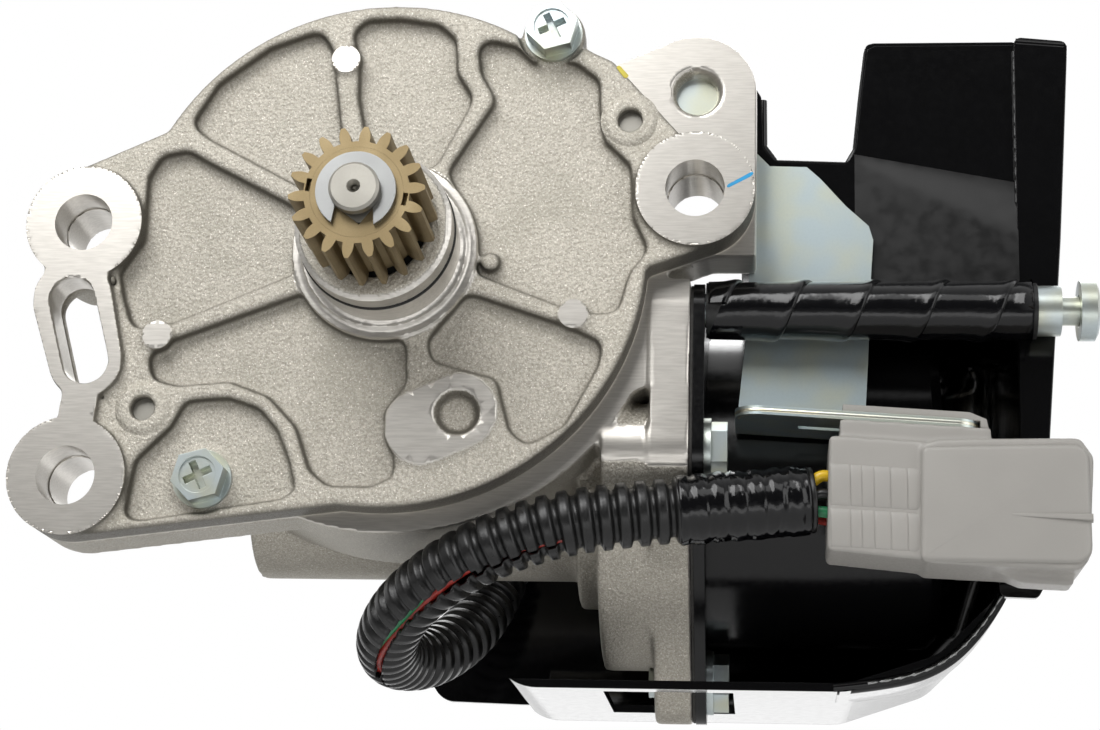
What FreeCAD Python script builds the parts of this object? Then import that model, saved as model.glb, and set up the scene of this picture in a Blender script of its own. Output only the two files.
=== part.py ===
"""Differential lock actuator: a worm-gear motor drive that turns a pinion through a spiral spring.

Frame: origin on the pinion axis, in the plane of the mounting boss faces. The pinion points along -Y,
+X runs towards the motor and +Z is up as the actuator is drawn. Millimetres.
"""
import FreeCAD, Part
import math
import os
import Sketcher
from FreeCAD import Placement, Rotation, Vector

doc = FreeCAD.newDocument("lock_actuator")
sheet = doc.addObject("Spreadsheet::Sheet", "Sizes")

# Driving dimensions: name, value, what it is
SIZES = [
    ("mount_hole_d", 11.0, "clearance hole for an M10 mounting bolt"),
    ("mount_hole_rear_d", 10.6, "the same hole in the rear casting"),
    ("mount_boss_d", 22.1, "mounting boss outside diameter"),
    ("boss_a_x", -57.25, "upper left mounting boss, X"),
    ("boss_a_z", 5.0, "upper left mounting boss, Z"),
    ("boss_b_x", -57.1, "lower left mounting boss, X"),
    ("boss_b_z", -43.6, "lower left mounting boss, Z"),
    ("boss_c_x", 57.5, "right mounting boss, X"),
    ("boss_c_z", 11.4, "right mounting boss, Z"),
    ("rim_depth", 1.5, "cover rim face behind the mounting faces"),
    ("pad_depth", 0.8, "machined pads behind the mounting faces"),
    ("pocket_depth", 4.0, "cover pocket floors behind the mounting faces"),
    ("split_depth", 8.5, "joint face between cover and housing"),
    ("link_depth", 12.0, "back of the slotted link between the left bosses"),
    ("drum_radius", 51.0, "round outline of the housing"),
    ("drum_shift", 1.3, "drum centre right of and below the pinion axis"),
    ("cover_inset", 2.2, "cover outline inside the drum's"),
    ("drum_side_wall", 6.0, "drum wall round the spring chamber"),
    ("drum_wall", 4.0, "drum wall behind the spring chamber"),
    ("wheel_drum_wall", 4.5, "wall round the wheel chamber"),
    ("rear_wall", 4.0, "wall behind the wheel chamber"),
    ("spigot_radius", 14.3, "pilot spigot radius"),
    ("spigot_length", 14.0, "pilot spigot length in front of the mounting faces"),
    ("spigot_foot_radius", 16.2, "machined foot of the spigot"),
    ("groove_width", 1.7, "pilot ring groove width"),
    ("groove_depth", 1.3, "pilot ring groove depth"),
    ("groove_front", 9.2, "front side of the groove, in front of the mounting faces"),
    ("ear_x", 57.4, "tapped ear, X"),
    ("ear_z", 33.5, "tapped ear, Z"),
    ("ear_radius", 11.4, "tapped ear radius"),
    ("ear_bottom", 0.8, "underside of the ear block"),
    ("bracket_bolt_d", 8.0, "thread of the bracket bolt and the ear"),
    ("slot_width", 8.5, "width of the slot in the link"),
    ("cover_screw_d", 6.0, "cover screw thread"),
    ("screw_a_x", 30.3, "upper cover screw, X"),
    ("screw_a_z", 43.2, "upper cover screw, Z"),
    ("screw_b_x", -32.2, "lower cover screw, X"),
    ("screw_b_z", -43.6, "lower cover screw, Z"),
    ("screw_hex", 10.0, "cover screw across flats"),
    ("dowel_d", 4.4, "dowel diameter"),
    ("dowel_a_x", 45.2, "upper dowel, X"),
    ("dowel_a_z", 25.2, "upper dowel, Z"),
    ("dowel_b_x", -43.9, "lower dowel, X"),
    ("dowel_b_z", -30.6, "lower dowel, Z"),
    ("seal_width", 1.6, "cover seal section"),
    ("shaft_d", 12.0, "output shaft diameter in its bushes"),
    ("shaft_end", 35.1, "front end of the output shaft in front of the mounting faces"),
    ("shaft_tip_d", 8.9, "round front end of the output shaft"),
    ("square_side", 8.3, "square that drives the pinion hub"),
    ("shaft_tail", 4.5, "output shaft past the back of the wheel drum"),
    ("shaft_cap", 2.5, "bearing boss past the end of the output shaft"),
    ("bearing_boss_radius", 10.6, "boss round the rear bush"),
    ("running_gap", 0.05, "radial clearance of the shafts in their bushes"),
    ("bush_wall", 2.0, "wall of the output shaft bushes"),
    ("front_bush_length", 14.0, "front bush length"),
    ("pinion_teeth", 18.0, "teeth of the output pinion"),
    ("pinion_module", 1.2, "module of the output pinion"),
    ("pinion_front", 31.75, "front face of the pinion in front of the mounting faces"),
    ("pinion_back", 15.0, "back face of the pinion in front of the mounting faces"),
    ("hub_radius", 8.2, "pinion hub radius"),
    ("key_width", 2.2, "hub key width"),
    ("key_height", 0.7, "hub key height"),
    ("switch_room", 9.5, "room for the position switch in front of the spring"),
    ("spring_width", 10.0, "spiral spring width"),
    ("spring_inner", 10.0, "spiral spring inner radius"),
    ("spring_outer", 34.0, "spiral spring outer radius"),
    ("spring_turns", 5.0, "turns of the spiral spring"),
    ("spring_thickness", 1.5, "spiral spring strip thickness"),
    ("post_radius", 2.5, "post that holds the spring's outer end"),
    ("carrier_gap", 2.2, "spring to the wheel carrier's disc"),
    ("carrier_thickness", 3.0, "wheel carrier's disc"),
    ("carrier_room", 3.8, "room behind the wheel carrier's disc"),
    ("carrier_clearance", 3.5, "wheel carrier's disc to the chamber wall"),
    ("ring_thickness", 1.0, "retaining ring thickness"),
    ("ring_d", 14.1, "retaining ring outside diameter"),
    ("ring_groove_d", 7.0, "shaft groove for the retaining ring"),
    ("wheel_teeth", 57.0, "teeth of the worm wheel"),
    ("wheel_module", 1.0, "module of the worm and wheel"),
    ("wheel_width", 10.0, "worm wheel face width"),
    ("wheel_bore_radius", 16.0, "bore of the worm wheel on its carrier"),
    ("wheel_room", 7.0, "room behind the worm wheel"),
    ("wheel_clearance", 3.0, "worm wheel to the chamber wall"),
    ("washer_thickness", 1.5, "thrust washer behind the wheel carrier"),
    ("washer_play", 0.05, "play on each side of the thrust washer"),
    ("worm_pitch_radius", 6.5, "worm pitch radius"),
    ("worm_length", 30.0, "length of the worm thread"),
    ("tooth_play", 0.22, "tooth thinning on the worm and on the wheel"),
    ("motor_depth", 54.0, "motor axis behind the mounting faces"),
    ("motor_shaft_d", 6.0, "motor shaft diameter"),
    ("worm_bore_radius", 9.0, "bore round the worm"),
    ("worm_case_radius", 18.0, "outline of the worm casing"),
    ("end_bush_radius", 7.0, "bushes at the ends of the motor shaft"),
    ("bell_bush_radius", 8.0, "bush beside the worm"),
    ("bell_rim", 4.85, "motor bell outside the can"),
    ("bolt_rim", 7.35, "motor bolt centres outside the can"),
    ("bell_start", 39.0, "left end of the bell, X"),
    ("flange_start", 49.2, "left face of the motor flange, X"),
    ("flange_end", 56.7, "right face of the motor flange, X"),
    ("bell_bore_radius", 27.0, "bore of the bell"),
    ("motor_bolt_d", 6.0, "motor bolt thread"),
    ("motor_ear_radius", 8.2, "flange radius round each motor bolt"),
    ("gasket_thickness", 0.5, "motor gasket"),
    ("plate_thickness", 2.1, "motor plate"),
    ("can_radius", 30.75, "motor can outside radius"),
    ("can_wall", 2.2, "motor can wall"),
    ("can_end", 104.0, "right end of the can, X"),
    ("magnet_thickness", 3.2, "magnet thickness"),
    ("air_gap", 0.8, "gap between armature and magnets"),
    ("stack_start", 67.0, "left end of the armature stack, X"),
    ("stack_length", 26.0, "armature stack length"),
    ("commutator_radius", 8.5, "commutator radius"),
    ("commutator_start", 50.0, "left end of the commutator, X"),
    ("commutator_length", 9.0, "commutator length"),
    ("hose_z", -8.4, "breather hose axis, Z"),
    ("hose_clearance", 1.15, "bracket plate to the wrapped hose"),
    ("hose_radius", 5.2, "breather hose outside radius"),
    ("hose_bore_radius", 3.2, "breather hose bore radius"),
    ("wrap_thickness", 0.75, "wrap round the hose"),
    ("hose_end", 120.5, "right end of the hose, X"),
    ("cap_lift", 0.8, "travel of the breather cap"),
    ("sheet_thickness", 1.6, "bracket and shield sheet"),
    ("can_clearance", 1.15, "bracket plate to the motor can"),
    ("bolt_hex", 13.0, "bracket and shield bolts across flats"),
    ("tab_setback", 3.2, "front edge of the bracket tab behind the connector's front"),
    ("shield_setback", 3.3, "shield tub behind its front plate"),
    ("shield_gap", 1.9, "motor bell to the shield's rear wall"),
    ("shield_pad_x", 44.4, "pad and bolt that hold the shield's rear wall, X"),
    ("shield_floor", -77.8, "underside of the shield, Z"),
    ("shield_right", 119.6, "outer face of the shield's right wall, X"),
    ("shield_roof", 5.0, "top of the shield tub, Z"),
    ("shield_bend", 12.0, "outer bend radius of the tub"),
    ("shield_top", 48.6, "top edge of the shield's front plate, Z"),
    ("connector_thickness", 17.4, "connector from front to back"),
    ("connector_clearance", 1.3, "connector to the plane of the bracket plate"),
    ("connector_wall", 1.8, "wall of the connector shroud"),
    ("conduit_radius", 6.0, "corrugated conduit outside radius"),
    ("conduit_bore_radius", 4.7, "corrugated conduit bore radius"),
    ("tape_thickness", 0.6, "tape over the conduit end"),
    ("harness_hole_radius", 5.0, "hole where the harness enters the housing"),
    ("wire_radius", 1.05, "wire radius"),
]
for row, (alias, value, words) in enumerate(SIZES, start=1):
    sheet.set("A%d" % row, words)
    sheet.set("B%d" % row, str(value))
    sheet.setAlias("B%d" % row, alias)
doc.recompute()


class Size:
    """A length that knows its number and the sheet expression that gives it."""

    def __init__(self, number, text):
        self.number = float(number)
        self.text = text

    def __float__(self):
        return self.number

    def __add__(self, other):
        other = as_size(other)
        return Size(self.number + other.number, "(%s + %s)" % (self.text, other.text))

    def __sub__(self, other):
        other = as_size(other)
        return Size(self.number - other.number, "(%s - %s)" % (self.text, other.text))

    def __mul__(self, other):
        other = as_size(other)
        return Size(self.number * other.number, "(%s * %s)" % (self.text, other.text))

    def __truediv__(self, other):
        other = as_size(other)
        return Size(self.number / other.number, "(%s / %s)" % (self.text, other.text))

    def __neg__(self):
        return Size(-self.number, "(0 - %s)" % self.text)

    def __radd__(self, other):
        return as_size(other) + self

    def __rsub__(self, other):
        return as_size(other) - self

    def __rmul__(self, other):
        return as_size(other) * self


def as_size(value):
    """A plain number as a Size with its own text."""
    return value if isinstance(value, Size) else Size(value, "(%r)" % float(value))


class Cells:
    """Gives each sheet cell as a Size by its alias."""

    def __getattr__(self, alias):
        return Size(getattr(sheet, alias), "Sizes." + alias)


s = Cells()
NODES = []

TURNS = {
    "+X": Rotation(),
    "-X": Rotation(Vector(0, 0, 1), 180),
    "+Y": Rotation(Vector(0, 0, 1), 90),
    "-Y": Rotation(Vector(0, 0, 1), -90),
}
TO_X = Rotation(Vector(0, 1, 0), 90)


def node(thing, label):
    """Name a finished sub-part and keep it for the export."""
    thing.Label = label
    NODES.append(thing)
    return thing


def bind(thing, path, value):
    """Tie one property to the sheet, or set it where it is a plain number."""
    if isinstance(value, Size) and "Sizes." in value.text:
        thing.setExpression(path, value.text)


def place(thing, origin, turn):
    """Put an object at an origin given as sizes."""
    thing.Placement = Placement(Vector(*[float(value) for value in origin]), turn)
    for axis, value in zip("xyz", origin):
        bind(thing, "Placement.Base." + axis, value)


def rod(name, radius, length, origin, toward="+Y"):
    """A round bar from its end centre, along one axis."""
    bar_shape = doc.addObject("Part::Cylinder", name)
    bar_shape.Radius = float(radius)
    bar_shape.Height = float(length)
    bind(bar_shape, "Radius", radius)
    bind(bar_shape, "Height", length)
    place(bar_shape, origin, TURNS[toward] * TO_X)
    return bar_shape


def block(name, width, depth, height, origin):
    """A box from its lowest corner."""
    box = doc.addObject("Part::Box", name)
    for path, value in (("Length", width), ("Width", depth), ("Height", height)):
        setattr(box, path, float(value))
        bind(box, path, value)
    place(box, origin, Rotation())
    return box


def prism(name, face, front, back):
    """A flat outline in the XZ plane, carried from one depth to another."""
    outline = doc.addObject("Part::Feature", name + "_outline")
    outline.Shape = face
    solid = doc.addObject("Part::Extrusion", name)
    solid.Base = outline
    solid.DirMode = "Custom"
    solid.Dir = Vector(0, 1, 0)
    solid.Solid = True
    solid.LengthFwd = float(back) - float(front)
    bind(solid, "LengthFwd", as_size(back) - front)
    place(solid, (0, front, 0), Rotation())
    return solid


def turned(name, profile, origin, toward="+Y"):
    """A turned piece: a closed profile of (along, radius) corners, spun about its axis."""
    body = doc.addObject("PartDesign::Body", name)
    sketch = body.newObject("Sketcher::SketchObject", name + "_profile")
    plane = [item for item in body.Origin.OriginFeatures if item.Role == "XY_Plane"][0]
    sketch.AttachmentSupport = [(plane, "")]
    sketch.MapMode = "FlatFace"
    corners = [Vector(float(along), float(radius), 0) for along, radius in profile]
    count = len(corners)
    for index in range(count):
        sketch.addGeometry(Part.LineSegment(corners[index], corners[(index + 1) % count]))
    for index in range(count):
        sketch.addConstraint(Sketcher.Constraint("Coincident", index, 2, (index + 1) % count, 1))
    for index, (along, radius) in enumerate(profile):
        for kind, value, axis in (("DistanceX", along, -2), ("DistanceY", radius, -1)):
            if abs(float(value)) < 1e-9:
                sketch.addConstraint(Sketcher.Constraint("PointOnObject", index, 1, axis))
                continue
            place_in_list = sketch.addConstraint(Sketcher.Constraint(kind, -1, 1, index, 1, float(value)))
            bind(sketch, "Constraints[%d]" % place_in_list, value)
    spin = body.newObject("PartDesign::Revolution", name + "_spin")
    spin.Profile = sketch
    spin.ReferenceAxis = (sketch, ["H_Axis"])
    spin.Angle = 360
    place(body, origin, TURNS[toward])
    return body


def tube_profile(inner, outer, length):
    """Profile of a plain tube."""
    return [(0, inner), (length, inner), (length, outer), (0, outer)]


def join(name, *shapes):
    """Fuse objects into one."""
    fused = doc.addObject("Part::MultiFuse", name)
    fused.Shapes = list(shapes)
    fused.Refine = True
    return fused


def cut(name, base, *tools):
    """Take tools away from a base."""
    result = doc.addObject("Part::Cut", name)
    result.Base = base
    result.Tool = tools[0] if len(tools) == 1 else join(name + "_tools", *tools)
    result.Refine = True
    return result


def overlap(name, base, tool):
    """What two objects share."""
    result = doc.addObject("Part::Common", name)
    result.Base = base
    result.Tool = tool
    result.Refine = True
    return result


def group(name, *shapes):
    """Separate solids kept in one object."""
    compound = doc.addObject("Part::Compound", name)
    compound.Links = list(shapes)
    return compound


def ahead(origin, toward, distance):
    """A point carried along one axis."""
    moved = list(origin)
    axis = "XYZ".index(toward[1])
    moved[axis] = as_size(moved[axis]) + as_size(distance) * (1 if toward[0] == "+" else -1)
    return tuple(moved)


def flanged_bolt(name, across, head_height, thread_d, reach, seat, toward):
    """A hexagon bolt with a flange that rests on its seat, its thread running along one axis."""
    flange = 1.3
    head = doc.addObject("Part::Prism", name + "_hex")
    head.Polygon = 6
    for path, value in (("Circumradius", across / math.sqrt(3)), ("Height", head_height + 0.1)):
        setattr(head, path, float(value))
        bind(head, path, value)
    place(head, ahead(seat, toward, -(flange + as_size(head_height))), TURNS[toward] * TO_X)
    washer = rod(name + "_flange", across / 2 + 1.3, flange, ahead(seat, toward, -flange), toward)
    shank = rod(name + "_shank", thread_d / 2, reach, seat, toward)
    return join(name, head, washer, shank)


def feature(name, shape):
    """A shape made with the Part functions."""
    item = doc.addObject("Part::Feature", name)
    item.Shape = shape
    return item


def flat(point, depth=0.0):
    """An (x, z) pair as a point at a depth."""
    return Vector(float(point[0]), depth, float(point[1]))


def around(centre, radius, angle):
    """The point at a radius and angle (degrees) about a centre, in the XZ plane."""
    turn = math.radians(angle)
    return (float(centre[0]) + float(radius) * math.cos(turn),
            float(centre[1]) + float(radius) * math.sin(turn))


def disc(centre, radius):
    """A round face in the XZ plane."""
    circle = Part.Circle(flat(centre), Vector(0, 1, 0), float(radius))
    return Part.Face(Part.Wire([circle.toShape()]))


def bar(centre_a, radius_a, centre_b, radius_b):
    """The face that wraps two circles."""
    dx = float(centre_b[0]) - float(centre_a[0])
    dz = float(centre_b[1]) - float(centre_a[1])
    heading = math.degrees(math.atan2(dz, dx))
    spread = math.degrees(math.acos((float(radius_a) - float(radius_b)) / math.hypot(dx, dz)))
    a_up = flat(around(centre_a, radius_a, heading + spread))
    a_low = flat(around(centre_a, radius_a, heading - spread))
    b_up = flat(around(centre_b, radius_b, heading + spread))
    b_low = flat(around(centre_b, radius_b, heading - spread))
    edges = [
        Part.LineSegment(a_up, b_up).toShape(),
        Part.Arc(b_up, flat(around(centre_b, radius_b, heading)), b_low).toShape(),
        Part.LineSegment(b_low, a_low).toShape(),
        Part.Arc(a_low, flat(around(centre_a, radius_a, heading + 180)), a_up).toShape(),
    ]
    return Part.Face(Part.Wire(edges))


def rounded(points, radius):
    """A closed outline of straight runs with rounded corners, as a face."""
    corners = [flat(point) for point in points]
    count = len(corners)
    starts = []
    edges = []
    for index in range(count):
        corner = corners[index]
        before = corners[index - 1] - corner
        after = corners[(index + 1) % count] - corner
        half = before.getAngle(after) / 2
        reach = min(float(radius) / math.tan(half), 0.48 * before.Length, 0.48 * after.Length)
        bisector = (before.normalize() + after.normalize()).normalize()
        size = reach * math.tan(half)
        middle = corner + bisector * (size / math.sin(half) - size)
        starts.append((corner + before * reach, middle, corner + after * reach))
    for index in range(count):
        first, middle, last = starts[index]
        edges.append(Part.Arc(first, middle, last).toShape())
        following = starts[(index + 1) % count][0]
        if last.distanceToPoint(following) > 1e-6:
            edges.append(Part.LineSegment(last, following).toShape())
    return Part.Face(Part.Wire(edges))


def polygon(points):
    """A closed straight-sided face."""
    corners = [flat(point) for point in points]
    return Part.Face(Part.makePolygon(corners + corners[:1]))


def united(*faces):
    """Flat faces joined into one."""
    whole = faces[0].fuse(list(faces[1:])).removeSplitter()
    return whole.Faces[0] if len(whole.Faces) == 1 else whole


BOSS_A = (s.boss_a_x, s.boss_a_z)
BOSS_B = (s.boss_b_x, s.boss_b_z)
BOSS_C = (s.boss_c_x, s.boss_c_z)
BOSSES = {"a": BOSS_A, "b": BOSS_B, "c": BOSS_C}
BOSS_RADIUS = s.mount_boss_d / 2
SCREWS = {"a": (s.screw_a_x, s.screw_a_z), "b": (s.screw_b_x, s.screw_b_z)}
DOWELS = {"a": (s.dowel_a_x, s.dowel_a_z), "b": (s.dowel_b_x, s.dowel_b_z)}
EAR = (s.ear_x, s.ear_z)
SLOT_TOP = (BOSS_A[0] - 1.15, BOSS_A[1] - 14.95)
SLOT_BOTTOM = (BOSS_B[0] + 2.1, BOSS_B[1] + 21.7)

# The worm runs below the wheel, so the motor axis lies one centre distance under the pinion axis.
WHEEL_PITCH_RADIUS = s.wheel_teeth * s.wheel_module / 2
MOTOR_Z = -(WHEEL_PITCH_RADIUS + s.worm_pitch_radius)
PLATE_START = s.flange_end + s.gasket_thickness
PLATE_END = PLATE_START + s.plate_thickness
WORM_LEAD = float(s.wheel_module) * math.pi
WORM_LEAD_SLOPE = WORM_LEAD / (2 * math.pi * float(s.worm_pitch_radius))

# Depths, each from what lies before it. The motor axis sets how far back the case reaches.
SPRING_FRONT = s.split_depth + s.switch_room
CARRIER_FRONT = SPRING_FRONT + s.spring_width + s.carrier_gap
CHAMBER_END = CARRIER_FRONT + s.carrier_thickness + s.carrier_room
DRUM_DEPTH = CHAMBER_END + s.drum_wall
WHEEL_CHAMBER_END = s.motor_depth + s.wheel_width / 2 + s.wheel_room
REAR_DEPTH = WHEEL_CHAMBER_END + s.rear_wall
SHAFT_BACK = REAR_DEPTH + s.shaft_tail
FLANGE_DEPTH = s.motor_depth - s.can_radius - s.can_clearance - s.sheet_thickness
HOSE_DEPTH = FLANGE_DEPTH - s.hose_clearance - s.hose_radius - s.wrap_thickness
CONNECTOR_BACK = FLANGE_DEPTH - s.connector_clearance
CONNECTOR_FRONT = CONNECTOR_BACK - s.connector_thickness
TAB_FRONT = CONNECTOR_FRONT + s.tab_setback
SCREW_SEAT = s.pocket_depth - 0.6
SCREW_LENGTH = s.split_depth + 9
DOWEL_END = s.split_depth + 6

# Radii and reaches that follow their neighbours
COVER_RADIUS = s.drum_radius - s.cover_inset
CHAMBER_RADIUS = s.drum_radius - s.drum_side_wall
COVER_SEAL_RADIUS = CHAMBER_RADIUS + s.seal_width
WHEEL_CHAMBER_RADIUS = WHEEL_PITCH_RADIUS + s.wheel_module + s.wheel_clearance
WHEEL_DRUM_RADIUS = WHEEL_CHAMBER_RADIUS + s.wheel_drum_wall
BELL_RADIUS = s.can_radius + s.bell_rim
MOTOR_BOLT_CIRCLE = s.can_radius + s.bolt_rim
SHIELD_FRONT = FLANGE_DEPTH + s.sheet_thickness * 2 + s.shield_setback
SHIELD_BACK = s.motor_depth + BELL_RADIUS + s.shield_gap
LIP_SEAL_RADIUS = s.shaft_d / 2 + 4
SCREW_WASHER = s.screw_hex / 2 + 1.3
MOTOR_BOLT_END = 47.9

# Turns, in degrees, in which the square, the ring and the connector tab lie
SQUARE_TURN = 38.0
RING_TURN = 3.0
TAB_SLOPE = math.tan(math.radians(3.5))
TAB_LEFT = 65.0
TAB_TOP = -28.4
WIRES_START = 80.2
WIRES_END = 88.0
CAVITY_ROWS = (-41.4, -44.8, -48.1)

# Route of the harness from the connector, round under the casing and up behind it
CONDUIT_ROUTE = [
    (79.2, 9.0, -45.4), (64.0, 7.4, -47.0), (47.8, 5.8, -48.7), (31.5, 4.6, -51.2), (16.6, 6.4, -56.8),
    (4.8, 16.0, -63.2), (-1.4, 29.5, -68.4), (-2.2, 45.0, -70.8), (3.6, 58.0, -68.8), (10.2, 69.5, -61.4),
    (14.4, 78.0, -51.0), (17.0, 81.4, -38.4), (19.0, 81.8, -25.6), (20.0, 81.8, -13.0),
]
ELBOW_X = CONDUIT_ROUTE[-1][0]
ELBOW_Z = CONDUIT_ROUTE[-1][2] + 5.0


def link_face():
    """The slotted link between the two left bosses."""
    return united(
        bar(SLOT_TOP, 7.6, SLOT_BOTTOM, 7.0),
        bar(BOSS_A, 6.2, SLOT_TOP, 6.2),
        bar((BOSS_B[0] + 0.8, BOSS_B[1] + 7.0), 3.5, SLOT_BOTTOM, 3.5),
    )


def slot_face():
    """The slot in the link."""
    return bar(SLOT_TOP, s.slot_width / 2, SLOT_BOTTOM, s.slot_width / 2)


def web_faces():
    """The webs that tie the bosses to the round part, shared by both castings."""
    return [
        bar(BOSS_A, BOSS_RADIUS, (-37.0, 12.5), 12.5),
        bar(BOSS_B, BOSS_RADIUS, (-8.0, -36.0), 12.4),
        bar(BOSS_C, BOSS_RADIUS, (40.0, 4.0), 10.0),
        polygon([(-52.5, 4), (-49.5, -14), (-49.0, -24), (-53.5, -33), (-50, -44), (-30, -40), (-30, 10)]),
        polygon([(38, 39), (41.8, 37.2), (54.8, 22.3), (52, 8), (30, 0), (20, 30), (25, 42.5), (31, 44)]),
        disc(SCREWS["a"], 5.8),
    ]


def cover_pockets():
    """The recesses between the ribs, clockwise from the upper left."""
    return [
        [(-38.5, 25.0), (-33.5, 33.3), (-24, 40.5), (-14.3, 44.0), (-11.8, 40), (-10.5, 31), (-8.2, 15.0),
         (-14.5, 11.2), (-34.5, 22.0)],
        [(-8.2, 43.5), (-5.5, 46.0), (1, 46.2), (8.5, 45.0), (11.8, 42), (12.3, 35), (15.6, 30), (9.2, 17.0),
         (6.0, 15.2), (-3.4, 16.2), (-6.4, 30), (-6.6, 38)],
        [(15.8, 42.3), (23.5, 40.4), (27.0, 36.8), (34.5, 37.2), (39.3, 33.5), (39.6, 27), (40.4, 21.5),
         (45.5, 16.5), (46.0, 6.5), (49.0, 0.2), (45.5, -4.5), (43.5, -12.0), (36.5, -12.2), (17.0, -4.6),
         (17.2, 2.0), (11.2, 15.5), (19.8, 29.5), (16.8, 35)],
        [(15.6, -8.2), (33.2, -14.2), (40.8, -17.6), (40.2, -22), (34.2, -33.4), (27.2, -37.2), (24, -34.2),
         (21.5, -24.6), (9.4, -21.4), (8.4, -17.4)],
        [(-15.4, -8.4), (-39.6, -17.5), (-43.6, -20.4), (-42.6, -25.0), (-38, -26.2), (-28, -25.4),
         (-20.6, -28.2), (-15.2, -34), (-12.4, -42), (-9, -44.8), (-1, -45.0), (3.4, -43), (3.0, -38.2),
         (0.8, -31.0), (4.9, -25.6), (4.6, -17.8)],
        [(-46.0, 14.4), (-43.6, 18.8), (-38.6, 19.8), (-34.8, 17.6), (-15.0, 7.2), (-16.6, -4.4),
         (-40.6, -14.6), (-47.0, -15.4), (-49.2, -9), (-50.2, -4.4), (-46.0, 2.0)],
        [(-44.8, -40.4), (-46.2, -50.8), (-43.5, -51.6), (-17.5, -47.4), (-14.6, -45.8), (-16.2, -40),
         (-18.6, -34.4), (-22.2, -30.4), (-28, -28.4), (-36, -29.0), (-38.6, -34.0), (-41.6, -37.0)],
    ]


def cover_face():
    """Outline of the cover."""
    return united(disc((0, 0), COVER_RADIUS), *web_faces())


def gear_cover():
    """Front casting: ribbed plate, bosses, slotted link and pilot spigot."""
    plate = prism("cover_plate", cover_face(), s.rim_depth, s.split_depth)
    pockets = []
    for index, outline in enumerate(cover_pockets()):
        pockets.append(prism("pocket_%d" % index, rounded(outline, 2.6), s.rim_depth - 1, s.pocket_depth))
    dished = cut("cover_dished", plate, *pockets)
    raised = []
    for key, centre in BOSSES.items():
        raised.append(prism("cover_boss_" + key, disc(centre, BOSS_RADIUS), 0, s.split_depth))
    raised.append(prism("cover_link", link_face(), 0, s.split_depth))
    pads = {"rib_top": (-9.0, 37.7), "rib_left": (-42.0, -16.6), "rib_right": (35.4, -12.5)}
    for key, centre in pads.items():
        raised.append(prism("pad_" + key, disc(centre, 2.7), s.pad_depth, s.split_depth))
    oval = bar((8.2, -33.9), 7.0, (14.9, -30.9), 7.0)
    raised.append(prism("pad_oval", oval, s.pad_depth, s.split_depth))
    for key, centre in DOWELS.items():
        raised.append(prism("dowel_pad_" + key, disc(centre, 5.4), s.rim_depth, s.split_depth))
    for key, centre in SCREWS.items():
        raised.append(prism("screw_seat_" + key, disc(centre, 6.0), SCREW_SEAT, s.split_depth))
    raised.append(prism("spigot_nub", disc((19.7, -2.2), 1.8), s.rim_depth, s.split_depth))
    step = s.rim_depth / 2
    spigot = turned("spigot", [
        (0, s.shaft_d / 2 + 1),
        (s.spigot_length + s.split_depth, s.shaft_d / 2 + 1),
        (s.spigot_length + s.split_depth, s.spigot_foot_radius + 1.2),
        (s.spigot_length + step, s.spigot_foot_radius + 1.2),
        (s.spigot_length + step, s.spigot_foot_radius - 0.6),
        (s.spigot_length, s.spigot_foot_radius - 0.6),
        (s.spigot_length, s.spigot_radius),
        (s.spigot_length - s.groove_front + s.groove_width, s.spigot_radius),
        (s.spigot_length - s.groove_front + s.groove_width, s.spigot_radius - s.groove_depth),
        (s.spigot_length - s.groove_front, s.spigot_radius - s.groove_depth),
        (s.spigot_length - s.groove_front, s.spigot_radius),
        (1.0, s.spigot_radius),
        (0, s.spigot_radius - 1.0),
    ], (0, -s.spigot_length, 0))
    whole = join("cover_whole", dished, spigot, *raised)
    tools = []
    through = s.split_depth + 4
    for key, centre in BOSSES.items():
        tools.append(rod("cover_hole_" + key, s.mount_hole_d / 2, through, (centre[0], -2, centre[1])))
    for key, centre in SCREWS.items():
        tools.append(rod("cover_screw_hole_" + key, s.cover_screw_d / 2 + 0.3, through,
                         (centre[0], -2, centre[1])))
        tools.append(rod("cover_screw_seat_" + key, SCREW_WASHER + 0.3, 4,
                         (centre[0], SCREW_SEAT - 4, centre[1])))
    for key, centre in DOWELS.items():
        tools.append(rod("cover_dowel_hole_" + key, s.dowel_d / 2, through, (centre[0], -2, centre[1])))
    tools.append(prism("cover_slot", slot_face(), -1, s.split_depth + 1))
    tools.append(turned("dimple", [(0, 0), (0, 4.4), (2.6, 3.0), (2.6, 0)], (14.6, s.pad_depth, -31.2)))
    tools.append(rod("cover_bush_bore", s.shaft_d / 2 + s.bush_wall, s.front_bush_length + 12,
                     (0, s.split_depth - s.front_bush_length, 0)))
    tools.append(rod("seal_bore", LIP_SEAL_RADIUS, s.spigot_length + s.split_depth - s.front_bush_length + 1,
                     (0, -s.spigot_length - 1, 0)))
    node(cut("gear_cover", whole, *tools), "gear_cover")


def motor_flange_corners():
    """Motor bolt centres as (depth, z): front, bottom, and upper rear."""
    corners = {}
    for key, angle in (("front", 0), ("bottom", -90), ("rear", 135)):
        turn = math.radians(angle)
        depth = s.motor_depth - MOTOR_BOLT_CIRCLE * math.cos(turn)
        height = MOTOR_Z + MOTOR_BOLT_CIRCLE * math.sin(turn)
        corners[key] = (depth, height)
    return corners


def side_disc(depth, height, radius, start, length, name):
    """A round bar along X given by its depth and height."""
    return rod(name, radius, length, (start, depth, height), "+X")


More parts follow.
